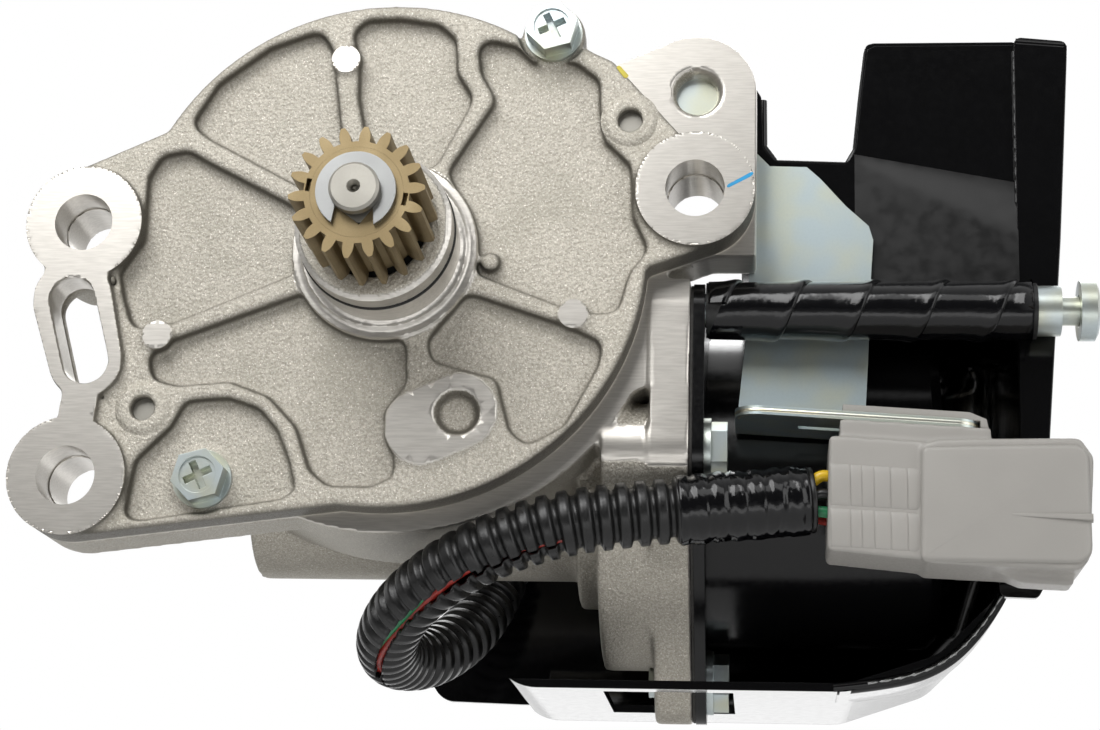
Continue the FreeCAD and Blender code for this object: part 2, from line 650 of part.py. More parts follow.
def side_hull(name, circles, start, end):
    """A flange along X that wraps several circles given as (depth, z, radius)."""
    faces = []
    centres = [(depth, height) for depth, height, radius in circles]
    for index, (depth, height, radius) in enumerate(circles):
        nxt = circles[(index + 1) % len(circles)]
        faces.append(bar((depth, height), radius, (nxt[0], nxt[1]), nxt[2]))
    faces.append(polygon(centres))
    face = united(*faces)
    # The outline is drawn with the depth along X, then turned so that it faces along X.
    face.rotate(Vector(0, 0, 0), Vector(0, 0, 1), 90)
    outline = feature(name + "_outline", face)
    solid = doc.addObject("Part::Extrusion", name)
    solid.Base = outline
    solid.DirMode = "Custom"
    solid.Dir = Vector(1, 0, 0)
    solid.Solid = True
    solid.LengthFwd = float(end) - float(start)
    bind(solid, "LengthFwd", as_size(end) - start)
    place(solid, (start, 0, 0), Rotation())
    return solid


def flange_circles(grow=0.0):
    """The motor flange outline: three bolt ears, the can's seat and the breather ear."""
    corners = motor_flange_corners()
    ear = s.motor_ear_radius + grow
    order = [corners["bottom"], corners["front"]]
    circles = [(depth, height, ear) for depth, height in order]
    circles.append((HOSE_DEPTH + 0.2, s.hose_z - 0.2, s.hose_radius + grow))
    circles.append((corners["rear"][0], corners["rear"][1], ear))
    return circles


def gear_housing():
    """Rear casting: spring chamber, wheel chamber, worm casing and motor bell."""
    drum_centre = (s.drum_shift, -s.drum_shift)
    flange = united(disc(drum_centre, s.drum_radius), *web_faces())
    solids = [prism("housing_flange", flange, s.split_depth, FLANGE_DEPTH)]
    solids.append(prism("housing_link", link_face(), s.split_depth, s.link_depth))
    solids.append(prism("drum", disc(drum_centre, s.drum_radius), s.split_depth, DRUM_DEPTH))
    solids.append(rod("wheel_drum", WHEEL_DRUM_RADIUS, REAR_DEPTH - s.split_depth, (0, s.split_depth, 0)))
    solids.append(rod("bearing_boss", s.bearing_boss_radius, SHAFT_BACK + s.shaft_cap - s.split_depth,
                      (0, s.split_depth, 0)))
    ear = united(
        disc(EAR, s.ear_radius),
        bar(EAR, s.ear_radius, (40, 26), 11.5),
        polygon([(EAR[0] + s.ear_radius, EAR[1]), (EAR[0] + s.ear_radius, s.ear_bottom),
                 (46, s.ear_bottom), (40, 20), (44, 36)]),
    )
    solids.append(prism("ear", ear, s.split_depth, FLANGE_DEPTH))
    ledge = polygon([(38, -3.5), (s.flange_end, -3.5), (s.flange_end, -20), (38, -30)])
    solids.append(prism("ledge", ledge, s.split_depth, s.motor_depth - 20))
    solids.append(side_disc(s.motor_depth, MOTOR_Z, s.worm_case_radius, -31, s.bell_start + 31, "worm_case"))
    solids.append(side_disc(s.motor_depth, MOTOR_Z, 23.5, s.bell_start - 5, 8, "worm_case_neck"))
    solids.append(side_disc(s.motor_depth, MOTOR_Z, BELL_RADIUS, s.bell_start,
                            s.flange_end - s.bell_start, "bell"))
    solids.append(side_hull("motor_flange", flange_circles(), s.flange_start, s.flange_end))
    corners = motor_flange_corners()
    front = corners["front"]
    solids.append(side_disc(front[0] + 1.2, front[1], s.motor_ear_radius + 0.8, 40.4,
                            s.flange_start - 41.2, "bump"))
    solids.append(prism("bump_foot", polygon([(36, -20), (48.4, -26), (48.4, -42), (36, -42)]),
                        front[0] + 4, s.motor_depth))
    pad = (s.shield_pad_x, MOTOR_Z)
    solids.append(prism("shield_pad", disc(pad, 7), s.motor_depth + 30, SHIELD_BACK))
    whole = join("housing_whole", *solids)

    tools = [
        rod("spring_chamber", CHAMBER_RADIUS, CHAMBER_END - s.split_depth + 1, (0, s.split_depth - 1, 0)),
        rod("wheel_chamber", WHEEL_CHAMBER_RADIUS, WHEEL_CHAMBER_END - s.split_depth, (0, s.split_depth, 0)),
        rod("rear_bush_bore", s.shaft_d / 2 + s.bush_wall, SHAFT_BACK + 0.5 - s.split_depth,
            (0, s.split_depth, 0)),
        side_disc(s.motor_depth, MOTOR_Z, s.worm_bore_radius, -19, s.bell_start - 6 + 19, "worm_bore"),
        side_disc(s.motor_depth, MOTOR_Z, s.end_bush_radius, -28, 20, "end_bush_bore"),
        side_disc(s.motor_depth, MOTOR_Z, s.bell_bush_radius, 20, s.bell_start - 20, "front_bush_bore"),
        side_disc(s.motor_depth, MOTOR_Z, 5, 20, s.bell_start - 18, "shaft_way"),
        side_disc(s.motor_depth, MOTOR_Z, s.bell_bore_radius, s.bell_start + 2,
                  s.flange_end - s.bell_start, "bell_bore"),
        prism("housing_slot", slot_face(), s.split_depth - 1, FLANGE_DEPTH + 1),
    ]
    for key, centre in BOSSES.items():
        tools.append(rod("housing_hole_" + key, s.mount_hole_rear_d / 2, 40, (centre[0], 0, centre[1])))
    for key, centre in SCREWS.items():
        tools.append(rod("housing_screw_hole_" + key, s.cover_screw_d / 2, SCREW_LENGTH + 1,
                         (centre[0], 0, centre[1])))
    for key, centre in DOWELS.items():
        tools.append(rod("housing_dowel_hole_" + key, s.dowel_d / 2, DOWEL_END, (centre[0], 0, centre[1])))
    tools.append(rod("ear_thread", s.bracket_bolt_d / 2, FLANGE_DEPTH, (EAR[0], 4, EAR[1])))
    tools.append(turned("ear_countersink", [(0, 0), (0, 4.9), (1.4, 4.0), (1.4, 0)],
                        (EAR[0], s.split_depth, EAR[1])))
    for key, (depth, height) in corners.items():
        tools.append(side_disc(depth, height, s.motor_bolt_d / 2, 47.2, 12, "flange_hole_" + key))
    tools.append(side_disc(HOSE_DEPTH, s.hose_z, s.hose_bore_radius, 46, 14, "breather_way"))
    tools.append(rod("breather_port", 2.0, 16, (44, HOSE_DEPTH, s.hose_z), "+X"))
    tools.append(rod("shield_thread", s.bracket_bolt_d / 2, 14, (pad[0], SHIELD_BACK - 8, pad[1])))
    tools.append(rod("harness_way", s.harness_hole_radius, 12, (ELBOW_X, WHEEL_CHAMBER_END - 4, ELBOW_Z)))
    tools.append(cut("seal_groove",
                     rod("seal_groove_outer", COVER_SEAL_RADIUS + s.seal_width / 2, s.seal_width + 2,
                         (0, s.split_depth - 2, 0)),
                     rod("seal_groove_inner", COVER_SEAL_RADIUS - s.seal_width / 2, s.seal_width + 4,
                         (0, s.split_depth - 3, 0))))
    node(cut("gear_housing", whole, *tools), "gear_housing")


def case_fittings():
    """Seal, dowels and screws that join the castings."""
    half = s.seal_width / 2
    section = tube_profile(COVER_SEAL_RADIUS - half, COVER_SEAL_RADIUS + half, s.seal_width)
    node(turned("cover_seal", section, (0, s.split_depth, 0)), "cover_seal")
    pins = []
    for key, centre in DOWELS.items():
        pins.append(rod("dowel_" + key, s.dowel_d / 2, DOWEL_END - s.rim_depth - 1.6,
                        (centre[0], s.rim_depth + 1.6, centre[1])))
    node(group("dowels", *pins), "dowels")
    screws = []
    seat = SCREW_SEAT
    for key, centre in SCREWS.items():
        shank = rod("screw_shank_" + key, s.cover_screw_d / 2, SCREW_LENGTH - seat,
                    (centre[0], seat, centre[1]))
        washer = rod("screw_washer_" + key, SCREW_WASHER, 1.0, (centre[0], seat - 1.0, centre[1]))
        corners = [around(centre, s.screw_hex / math.sqrt(3), 15 + 60 * step) for step in range(6)]
        head = prism("screw_hex_" + key, polygon(corners), seat - 5.0, seat - 1.0)
        dish = rod("screw_dish_" + key, s.screw_hex / 2 - 1.1, 1.0, (centre[0], seat - 5.6, centre[1]))
        arms = []
        for angle in (25, 115):
            long_side = [around(centre, 3.2, angle - 14), around(centre, 3.2, angle + 14),
                         around(centre, 3.2, angle + 166), around(centre, 3.2, angle + 194)]
            arms.append(prism("cross_%s_%d" % (key, angle), polygon(long_side), seat - 5.5, seat - 2.6))
        screws.append(cut("screw_" + key, join("screw_blank_" + key, shank, washer, head), dish, *arms))
    node(group("cover_screws", *screws), "cover_screws")
    # The ring is drawn as the bore it sits in squeezes it: flush with the spigot.
    ring_radius = s.groove_depth / 2
    ring = doc.addObject("Part::Torus", "pilot_ring")
    ring.Radius1 = float(s.spigot_radius - s.groove_depth + ring_radius)
    bind(ring, "Radius1", s.spigot_radius - s.groove_depth + ring_radius)
    ring.Radius2 = float(ring_radius)
    bind(ring, "Radius2", ring_radius)
    place(ring, (0, -(s.groove_front - s.groove_width / 2), 0), Rotation(Vector(1, 0, 0), 90))
    node(ring, "pilot_o_ring")


def output_bearings():
    """Bushes and lip seal of the output shaft."""
    bore = s.shaft_d / 2 + s.running_gap
    outer = s.shaft_d / 2 + s.bush_wall
    node(turned("front_bush", tube_profile(bore, outer, s.front_bush_length),
                (0, s.split_depth - s.front_bush_length, 0)), "front_bush")
    rear_length = SHAFT_BACK + 0.5 - WHEEL_CHAMBER_END
    node(turned("rear_bush", tube_profile(bore, outer, rear_length), (0, WHEEL_CHAMBER_END, 0)), "rear_bush")
    seal_depth = 6.0
    node(turned("lip_seal", [
        (0, bore + 1.2), (1.2, bore), (2.2, bore), (3.6, bore + 1.6), (seal_depth - 1.2, bore + 1.6),
        (seal_depth - 1.2, bore + 0.4), (seal_depth, bore + 0.4), (seal_depth, LIP_SEAL_RADIUS),
        (0, LIP_SEAL_RADIUS),
    ], (0, -s.spigot_length + 0.8, 0)), "lip_seal")


def output_shaft():
    """Output shaft with its square, ring groove and centre drilling."""
    end = s.shaft_end
    length = end + SHAFT_BACK
    tip = s.shaft_tip_d / 2
    neck = end - s.pinion_front
    body = turned("shaft_blank", [
        (0, 0), (0, tip - 0.5), (0.5, tip), (neck - s.ring_thickness - 0.1, tip),
        (neck - s.ring_thickness - 0.1, s.ring_groove_d / 2), (neck, s.ring_groove_d / 2),
        (neck, s.shaft_d / 2 - 0.4), (end - s.pinion_back, s.shaft_d / 2 - 0.4),
        (end - s.pinion_back, s.shaft_d / 2), (length, s.shaft_d / 2), (length, 0),
    ], (0, -end, 0))
    # The square is left standing where four flats are cut on the front of the shaft.
    flats = cut("shaft_flats", rod("flat_cutter", s.shaft_d / 2 + 1, s.pinion_front - s.pinion_back,
                                   (0, -s.pinion_front, 0)),
                square_prism("shaft_square", s.square_side, -s.pinion_front - 1, 1 - s.pinion_back))
    centre = turned("centre_drill", [(0, 0), (0, 1.2), (1.0, 0.55), (2.0, 0.55), (2.4, 0)], (0, -end, 0))
    node(cut("output_shaft", body, centre, flats), "output_shaft")


def gear_wire(teeth, module, bore_turn, thinning, depth_factor=1.25):
    """Outline of an involute spur gear in the XZ plane, with one tooth space pointing along bore_turn."""
    teeth = int(round(float(teeth)))
    module = float(module)
    pitch = teeth * module / 2
    base = pitch * math.cos(math.radians(20))
    tip = pitch + module
    root = pitch - depth_factor * module
    involute_at_pitch = math.tan(math.radians(20)) - math.radians(20)
    half_tooth = (math.pi * module / 2 - float(thinning)) / (2 * pitch)
    points = []
    for tooth in range(teeth):
        middle = math.radians(bore_turn) + 2 * math.pi * (tooth + 0.5) / teeth
        flank = []
        for step in range(5):
            radius = max(base, root + 0.12 * module) + (tip - max(base, root + 0.12 * module)) * step / 4
            pressure = math.acos(min(1.0, base / radius))
            offset = half_tooth + involute_at_pitch - (math.tan(pressure) - pressure)
            flank.append((radius, offset))
        root_half = min(flank[0][1] + 0.10 / pitch, math.pi / teeth * 0.95)
        side = [(root, root_half)] + flank
        for radius, offset in side:
            points.append((radius, middle - offset))
        for radius, offset in reversed(side):
            points.append((radius, middle + offset))
    corners = [Vector(radius * math.cos(angle), 0, radius * math.sin(angle)) for radius, angle in points]
    return Part.makePolygon(corners + corners[:1])


def pinion():
    """Toothed ring, keyed hub and retaining ring."""
    length = s.pinion_front - s.pinion_back
    start = -s.pinion_front
    teeth = prism("pinion_teeth", Part.Face(gear_wire(s.pinion_teeth, s.pinion_module, 90 + 4, 0.1)),
                  start, -s.pinion_back)
    hub_hole = rod("pinion_bore", s.hub_radius, length + 2, (0, start - 1, 0))
    keyways = [key_block("keyway", s.key_height + 0.1, s.key_width + 0.1, start - 1, length + 2)]
    node(cut("output_pinion", teeth, hub_hole, *keyways), "output_pinion")
    hub = rod("hub_blank", s.hub_radius, length, (0, start, 0))
    keys = key_block("hub_keys", s.key_height, s.key_width, start + 1.6, length - 3.2)
    square = square_prism("hub_square", s.square_side + 0.1, start - 1, 1 - s.pinion_back)
    node(cut("pinion_hub", join("hub_keyed", hub, keys), square), "pinion_hub")
    ring_outline = disc((0, 0), s.ring_d / 2).cut(disc((0, 0), s.ring_groove_d / 2 + 0.9))
    groove_radius = s.ring_groove_d / 2
    prongs = []
    for angle, inner_half, outer_half in ((90, 13, 10), (178, 12, 16), (2, 12, 16)):
        prongs.append(polygon([around((0, 0), groove_radius, angle - inner_half),
                               around((0, 0), groove_radius + 1.6, angle - outer_half),
                               around((0, 0), groove_radius + 1.6, angle + outer_half),
                               around((0, 0), groove_radius, angle + inner_half)]))
    mouth = polygon([(-2.9, 0.5), (2.9, 0.5), (4.1, -9), (-4.1, -9)])
    body = ring_outline.fuse(prongs).removeSplitter()
    groove = disc((0, 0), groove_radius)
    outline = body.cut(groove).cut(mouth)
    outline.rotate(Vector(0, 0, 0), Vector(0, 1, 0), RING_TURN)
    node(prism("e_ring", outline.Faces[0], start - s.ring_thickness - 0.05, start - 0.05), "e_ring")


def key_block(name, height, width, start, length):
    """Two keys on opposite sides of the hub, slightly turned from level."""
    reach = s.hub_radius + height
    half = width / 2
    face = polygon([(-reach, -half), (reach, -half), (reach, half), (-reach, half)])
    face.rotate(Vector(0, 0, 0), Vector(0, 1, 0), 9)
    return prism(name, face, start, as_size(start) + length)


def square_prism(name, side, start, end):
    """The driving square as a prism."""
    half = as_size(side) / 2
    face = polygon([(-half, -half), (half, -half), (half, half), (-half, half)])
    face.rotate(Vector(0, 0, 0), Vector(0, 1, 0), SQUARE_TURN)
    return prism(name, face, start, end)


def spiral_spring():
    """Flat spiral between the arbor on the shaft and the post on the wheel carrier."""
    turns = float(s.spring_turns)
    start_radius = float(s.spring_inner)
    growth = float(s.spring_outer - s.spring_inner)
    steps = int(16 * turns)
    inner = []
    outer = []
    for step in range(steps + 1):
        share = step / steps
        radius = start_radius + growth * share
        angle = 2 * math.pi * turns * share
        for line, offset in ((inner, 0), (outer, float(s.spring_thickness))):
            line.append(Vector((radius + offset) * math.cos(angle), 0, (radius + offset) * math.sin(angle)))
    inner_curve = Part.BSplineCurve()
    inner_curve.interpolate(inner)
    outer_curve = Part.BSplineCurve()
    outer_curve.interpolate(outer)
    edges = [inner_curve.toShape(), Part.LineSegment(inner[-1], outer[-1]).toShape(),
             outer_curve.toShape(), Part.LineSegment(outer[0], inner[0]).toShape()]
    face = Part.Face(Part.Wire(Part.__sortEdges__(edges)))
    node(prism("spiral_spring", face, SPRING_FRONT, SPRING_FRONT + s.spring_width), "spiral_spring")
    bore = s.shaft_d / 2
    node(turned("spring_arbor", [
        (0, bore), (s.spring_width + 1, bore), (s.spring_width + 1, s.spring_inner), (1, s.spring_inner),
        (1, s.spring_inner + s.spring_thickness), (0, s.spring_inner + s.spring_thickness),
    ], (0, SPRING_FRONT - 1, 0)), "spring_arbor")


def wheel():
    """Worm wheel on its carrier, with the post that holds the spring."""
    bore = s.shaft_d / 2 + s.running_gap
    face_start = s.motor_depth - s.wheel_width / 2
    hub_radius = s.wheel_bore_radius - 4
    washer_front = WHEEL_CHAMBER_END - s.washer_play - s.washer_thickness
    hub_length = washer_front - s.washer_play - CARRIER_FRONT
    wheel_reach = face_start + s.wheel_width - CARRIER_FRONT
    carrier_radius = CHAMBER_RADIUS - s.carrier_clearance
    carrier = turned("carrier_blank", [
        (0, bore), (hub_length, bore), (hub_length, hub_radius), (wheel_reach, hub_radius),
        (wheel_reach, s.wheel_bore_radius), (s.carrier_thickness, s.wheel_bore_radius),
        (s.carrier_thickness, carrier_radius), (0, carrier_radius),
    ], (0, CARRIER_FRONT, 0))
    post = rod("spring_post", s.post_radius, s.spring_width + s.carrier_gap,
               (s.spring_outer + s.spring_thickness + s.post_radius + 0.25, SPRING_FRONT, 0))
    node(join("wheel_carrier", carrier, post), "wheel_carrier")
    wire = gear_wire(s.wheel_teeth, s.wheel_module, -90, s.tooth_play)
    helix_turn = math.degrees(float(s.wheel_width) / 2 * WORM_LEAD_SLOPE / float(WHEEL_PITCH_RADIUS))
    sections = []
    for side in (-1, 1):
        section = wire.copy()
        section.rotate(Vector(0, 0, 0), Vector(0, 1, 0), side * helix_turn)
        section.translate(Vector(0, float(s.motor_depth) + side * float(s.wheel_width) / 2, 0))
        sections.append(section)
    teeth = Part.makeLoft(sections, True, True)
    blank = feature("wheel_teeth", teeth)
    bored = rod("wheel_bore", s.wheel_bore_radius, s.wheel_width + 2, (0, face_start - 1, 0))
    node(cut("worm_wheel", blank, bored), "worm_wheel")
    node(turned("thrust_washer", tube_profile(bore, hub_radius + 1, s.washer_thickness),
                (0, washer_front, 0)), "thrust_washer")


def worm():
    """Single-start right-hand worm, pressed on the motor shaft."""
    module = float(s.wheel_module)
    root = float(s.worm_pitch_radius) - 1.2 * module
    tip = float(s.worm_pitch_radius) + 0.95 * module
    half_turns = math.ceil(float(s.worm_length) / 2 / WORM_LEAD) + 1
    start = -(half_turns + 0.5) * WORM_LEAD
    helix = Part.makeHelix(WORM_LEAD, 2 * half_turns * WORM_LEAD + WORM_LEAD, root)
    half_pitch = (math.pi * module / 2 - float(s.tooth_play)) / 2
    slope = math.tan(math.radians(20))
    low_half = half_pitch + (float(s.worm_pitch_radius) - root) * slope
    high_half = half_pitch - (tip - float(s.worm_pitch_radius)) * slope
    sunk = 0.4
    profile = Part.makePolygon([
        Vector(root - sunk, 0, -low_half), Vector(tip, 0, -high_half),
        Vector(tip, 0, high_half), Vector(root - sunk, 0, low_half), Vector(root - sunk, 0, -low_half),
    ])
    thread = Part.Wire(helix.Edges).makePipeShell([Part.Wire(profile.Edges)], True, True)
    length = float(s.worm_length)
    thread.rotate(Vector(0, 0, 0), Vector(0, 1, 0), 90)
    thread.translate(Vector(start, float(s.motor_depth), float(MOTOR_Z)))
    axis_start = Vector(-length / 2, float(s.motor_depth), float(MOTOR_Z))
    core = Part.makeCylinder(root, length, axis_start, Vector(1, 0, 0))
    sleeve = Part.makeCylinder(tip + 1, length, axis_start, Vector(1, 0, 0))
    bore = Part.makeCylinder(float(s.motor_shaft_d) / 2, length + 2, axis_start - Vector(1, 0, 0),
                             Vector(1, 0, 0))
    node(feature("worm", thread.common(sleeve).fuse(core).cut(bore).removeSplitter()), "worm")


def rotor():
    """Motor shaft, armature and commutator."""
    radius = s.motor_shaft_d / 2
    along = (s.motor_depth, MOTOR_Z)
    shaft_start = -27.0
    shaft_length = s.can_end + 2.0 - shaft_start
    node(turned("motor_shaft", [(0, 0), (0, radius - 0.4), (0.4, radius), (shaft_length - 0.4, radius),
                                (shaft_length, radius - 0.4), (shaft_length, 0)],
                (shaft_start, *along), "+X"), "motor_shaft")
    stack_radius = s.can_radius - s.can_wall - s.magnet_thickness - s.air_gap
    stack = turned("stack_blank", tube_profile(radius, stack_radius, s.stack_length),
                   (s.stack_start, *along), "+X")
    slots = []
    for index in range(10):
        angle = math.radians(36 * index)
        slots.append(rod("stack_slot_%d" % index, 2.6, s.stack_length + 2,
                         (s.stack_start - 1, s.motor_depth + (stack_radius - 2.2) * math.cos(angle),
                          MOTOR_Z + (stack_radius - 2.2) * math.sin(angle)), "+X"))
    node(cut("armature_core", stack, *slots), "armature_core")
    coil = stack_radius - 1.6
    coils = []
    stack_end = s.stack_start + s.stack_length
    for key, start, toward in (("left", s.stack_start, "-X"), ("right", stack_end, "+X")):
        coils.append(turned("coil_" + key, [(0, radius), (0, coil), (3.2, coil), (6.0, coil - 5),
                                            (6.0, radius)], (start, *along), toward))
    node(group("armature_windings", *coils), "armature_windings")
    comm = turned("commutator_blank", tube_profile(radius, s.commutator_radius, s.commutator_length),
                  (s.commutator_start, *along), "+X")
    bars = []
    for index in range(5):
        cutter = block("segment_gap_%d" % index, s.commutator_length + 2, 0.6, 40,
                       (s.commutator_start - 1, 0, 0))
        centre = Vector(float(s.commutator_start) - 1, float(s.motor_depth), float(MOTOR_Z))
        turn = Rotation(Vector(1, 0, 0), 36 * index)
        cutter.Placement = Placement(centre, turn) * Placement(Vector(0, -0.3, -20), Rotation())
        bars.append(cutter)
    keep = rod("commutator_core", s.commutator_radius - 1.0, s.commutator_length + 4,
               (s.commutator_start - 2, *along), "+X")
    node(cut("commutator", comm, cut("segment_gaps", join("segment_cutters", *bars), keep)), "commutator")


def motor_case():
    """Can, plate, gasket, magnets, brush gear, bushes and bolts."""
    along = (s.motor_depth, MOTOR_Z)
    radius = s.motor_shaft_d / 2 + s.running_gap
    inner = s.can_radius - s.can_wall
    length = s.can_end - PLATE_END
    node(turned("motor_can", [
        (0, inner), (length - s.can_wall, inner), (length - s.can_wall, s.end_bush_radius),
        (length + 2.4, s.end_bush_radius), (length + 2.4, 0), (length + 4.4, 0),
        (length + 4.4, s.end_bush_radius + s.can_wall), (length, s.end_bush_radius + s.can_wall),
        (length, s.can_radius - 2.0), (length - 2.0, s.can_radius), (0, s.can_radius),
    ], (PLATE_END, *along), "+X"), "motor_can")
    corners = motor_flange_corners()
    for label, start, end, bore in (("motor_gasket", s.flange_end, PLATE_START, s.bell_bore_radius),
                                    ("motor_plate", PLATE_START, PLATE_END, inner - 2.0)):
        inset = -0.3 if label == "motor_gasket" else 0.0
        blank = side_hull(label + "_blank", flange_circles(inset), start, end)
        tools = [side_disc(s.motor_depth, MOTOR_Z, bore, start - 1, 5, label + "_bore")]
        for key, (depth, height) in corners.items():
            tools.append(side_disc(depth, height, s.motor_bolt_d / 2 + 0.25, start - 1, 5,
                                   "%s_hole_%s" % (label, key)))
        tools.append(side_disc(HOSE_DEPTH, s.hose_z, s.hose_bore_radius, start - 1, 5, label + "_breather"))
        node(cut(label, blank, *tools), label)
    magnets = []
    ring = turned("magnet_ring", tube_profile(inner - s.magnet_thickness, inner, s.stack_length + 4),
                  (s.stack_start - 2, *along), "+X")
    half_width = 20.8
    for key, slab_start in (("front", -40), ("rear", 6)):
        slab = block("magnet_slab_" + key, s.stack_length + 6, 34, 2 * half_width,
                     (s.stack_start - 3, s.motor_depth + slab_start, MOTOR_Z - half_width))
        magnets.append(overlap("magnet_" + key, ring, slab))
    node(group("magnets", *magnets), "magnets")
    holder_start = s.bell_start + 3.0
    holder = turned("holder_blank", tube_profile(11.0, s.bell_bore_radius, 3.0), (holder_start, *along), "+X")
    boxes = []
    brushes = []
    for key, side in (("top", 1), ("low", -1)):
        reach = s.commutator_radius + 0.1
        low = reach if side > 0 else -(reach + 10.0)
        boxes.append(block("brush_box_" + key, 8.0, 9.0, 12.0,
                           (holder_start + 3.0, s.motor_depth - 4.5,
                            MOTOR_Z + (reach + 2.0 if side > 0 else -(reach + 14.0)))))
        brushes.append(block("brush_" + key, 6.0, 5.0, 10.0,
                             (s.commutator_start + 1.5, s.motor_depth - 2.5, MOTOR_Z + low)))
    holder_slots = [block("brush_slot_%d" % index, 14.0, 5.2, 16.0,
                          (s.commutator_start - 1.0, s.motor_depth - 2.6,
                           MOTOR_Z + (s.commutator_radius if index else -(s.commutator_radius + 16.0))))
                    for index in range(2)]
    node(cut("brush_holder", join("holder_whole", holder, *boxes), *holder_slots), "brush_holder")
    node(group("brushes", *brushes), "brushes")
    for label, outer, start, bush_length in (("can_bush", s.end_bush_radius, s.can_end - 3.2, 5.6),
                                             ("worm_end_bush", s.end_bush_radius, -28.0, 9.0),
                                             ("bell_bush", s.bell_bush_radius, s.bell_start - 6, 6.0)):
        node(turned(label, tube_profile(radius, outer, bush_length), (start, *along), "+X"), label)
    bolts = []
    for key, (depth, height) in corners.items():
        bolts.append(flanged_bolt("motor_bolt_" + key, s.screw_hex, 3.0, s.motor_bolt_d,
                                  PLATE_END - MOTOR_BOLT_END, (PLATE_END, depth, height), "-X"))
    node(group("motor_bolts", *bolts), "motor_bolts")


def breather():
    """Nipple, hose, wrap, plug and loose cap of the breather."""
    along = (HOSE_DEPTH, s.hose_z)
    bore = s.hose_bore_radius
    node(turned("breather_nipple", [(0, 2.0), (20, 2.0), (20, bore - 0.4), (18.5, bore), (0, bore)],
                (PLATE_END - 8.0, *along), "+X"), "breather_nipple")
    start = PLATE_END + 0.2
    length = s.hose_end - start
    node(turned("breather_hose", tube_profile(bore, s.hose_radius, length), (start, *along), "+X"),
         "breather_hose")
    node(turned("hose_wrap", tube_profile(s.hose_radius, s.hose_radius + s.wrap_thickness, length - 1.2),
                (start + 0.4, *along), "+X"), "hose_wrap")
    shoulder = 12.0
    node(turned("breather_plug", [
        (0, 1.4), (shoulder + 10.0, 1.4), (shoulder + 10.0, 3.7), (shoulder + 9.4, 3.7),
        (shoulder + 9.4, 2.7), (shoulder + 4.4, 2.7), (shoulder + 4.4, 4.7), (shoulder, 4.7),
        (shoulder, bore), (0, bore),
    ], (s.hose_end - shoulder, *along), "+X"), "breather_plug")
    lip = 8.5
    node(turned("breather_cap", [
        (0, 3.0), (0.7, 3.0), (0.7, 4.2), (1.4 + s.cap_lift, 4.2), (1.4 + s.cap_lift, 0),
        (3.2, 0), (3.4, 4.6), (2.9, 5.6), (0, 5.6),
    ], (s.hose_end + lip - s.cap_lift + 0.1, *along), "+X"), "breather_cap")


def tab_line(x, drop=0.0):
    """Height of the bracket tab's top face at x, less a drop."""
    return (x, TAB_TOP - (x - TAB_LEFT) * TAB_SLOPE - float(drop))


def bracket():
    """Zinc-plated bracket: a plate behind the ear, bent forward into the connector tab."""
    back = FLANGE_DEPTH + s.sheet_thickness
    thickness = s.sheet_thickness
    plate_face = polygon([
        (49, 36), (49, 30), (56, 25.0), (67.0, 22.0), (67.5, 3), (66.9, -11),
        tab_line(65.2), tab_line(89.1), (90.1, -11), (90.5, 0.1), (91.0, 7.7), (90.2, 10.5), (85.9, 14.5),
        (80.9, 20.2), (78.4, 22.5), (71.3, 22.7), (68.6, 25.5), (67.5, 40.5), (58, 42), (51, 40.5),
    ])
    plate = prism("bracket_plate", plate_face, FLANGE_DEPTH, back)
    tab_face = polygon([tab_line(TAB_LEFT), tab_line(109.2), tab_line(109.2, thickness),
                        tab_line(TAB_LEFT, thickness)])
    tab = prism("bracket_tab", tab_face, TAB_FRONT, back)
    corner = block("tab_corner", 6, 6, 12, (TAB_LEFT - 1, TAB_FRONT - 1, TAB_TOP - 6))
    corner_round = rod("tab_round", 5.0, 12, (TAB_LEFT + 5, 0, TAB_TOP - 6), "+Y")
    corner_round.Placement = Placement(Vector(TAB_LEFT + 5, float(TAB_FRONT) + 5, TAB_TOP - 6), Rotation())
    far_corner = block("tab_far_corner", 5, 5, 14, (105.2, TAB_FRONT - 1, TAB_TOP - 10))
    far_round = rod("tab_far_round", 4.0, 14, (105.2, 0, 0), "+Y")
    far_round.Placement = Placement(Vector(105.2, float(TAB_FRONT) + 4, TAB_TOP - 10), Rotation())
    slot = prism("tab_slot", polygon([(76.6, TAB_TOP + 2), (85.0, TAB_TOP + 2), (85.0, TAB_TOP - 6),
                                      (76.6, TAB_TOP - 6)]), TAB_FRONT + 7.6, TAB_FRONT + 9.8)
    hole = rod("bracket_hole", s.bracket_bolt_d / 2 + 0.4, 4, (EAR[0], FLANGE_DEPTH - 1, EAR[1]))
    node(cut("connector_bracket", join("bracket_whole", plate, tab), hole, slot,
             cut("tab_corner_tool", corner, corner_round), cut("tab_far_tool", far_corner, far_round)),
         "connector_bracket")
    sheets = back + thickness
    node(flanged_bolt("bracket_bolt", s.bolt_hex, 5.0, s.bracket_bolt_d, sheets - s.link_depth,
                      (EAR[0], sheets, EAR[1]), "-Y"), "bracket_bolt")


def shield_outline(wall):
    """Front view of the tub, drawn a wall inside its outer face; its left side is open."""
    right = float(s.shield_right) - wall
    floor = float(s.shield_floor) + wall
    roof = float(s.shield_roof) - wall
    lean = wall * 0.72
    left_low = 19.0 if wall == 0 else -20.0
    left_high = 62.0 if wall == 0 else -20.0
    step = -24.0 if wall == 0 else float(s.shield_roof) - wall
    corners = [(right, roof), (right, -46), (114.6 - lean, -61 + lean), (103.5 - lean * 0.8, -71.8 + lean),
               (86, floor), (left_low, floor), (left_low, step), (left_high, step), (left_high, roof)]
    if wall > 0:
        corners = corners[:6] + [(left_low, roof)]
    return corners


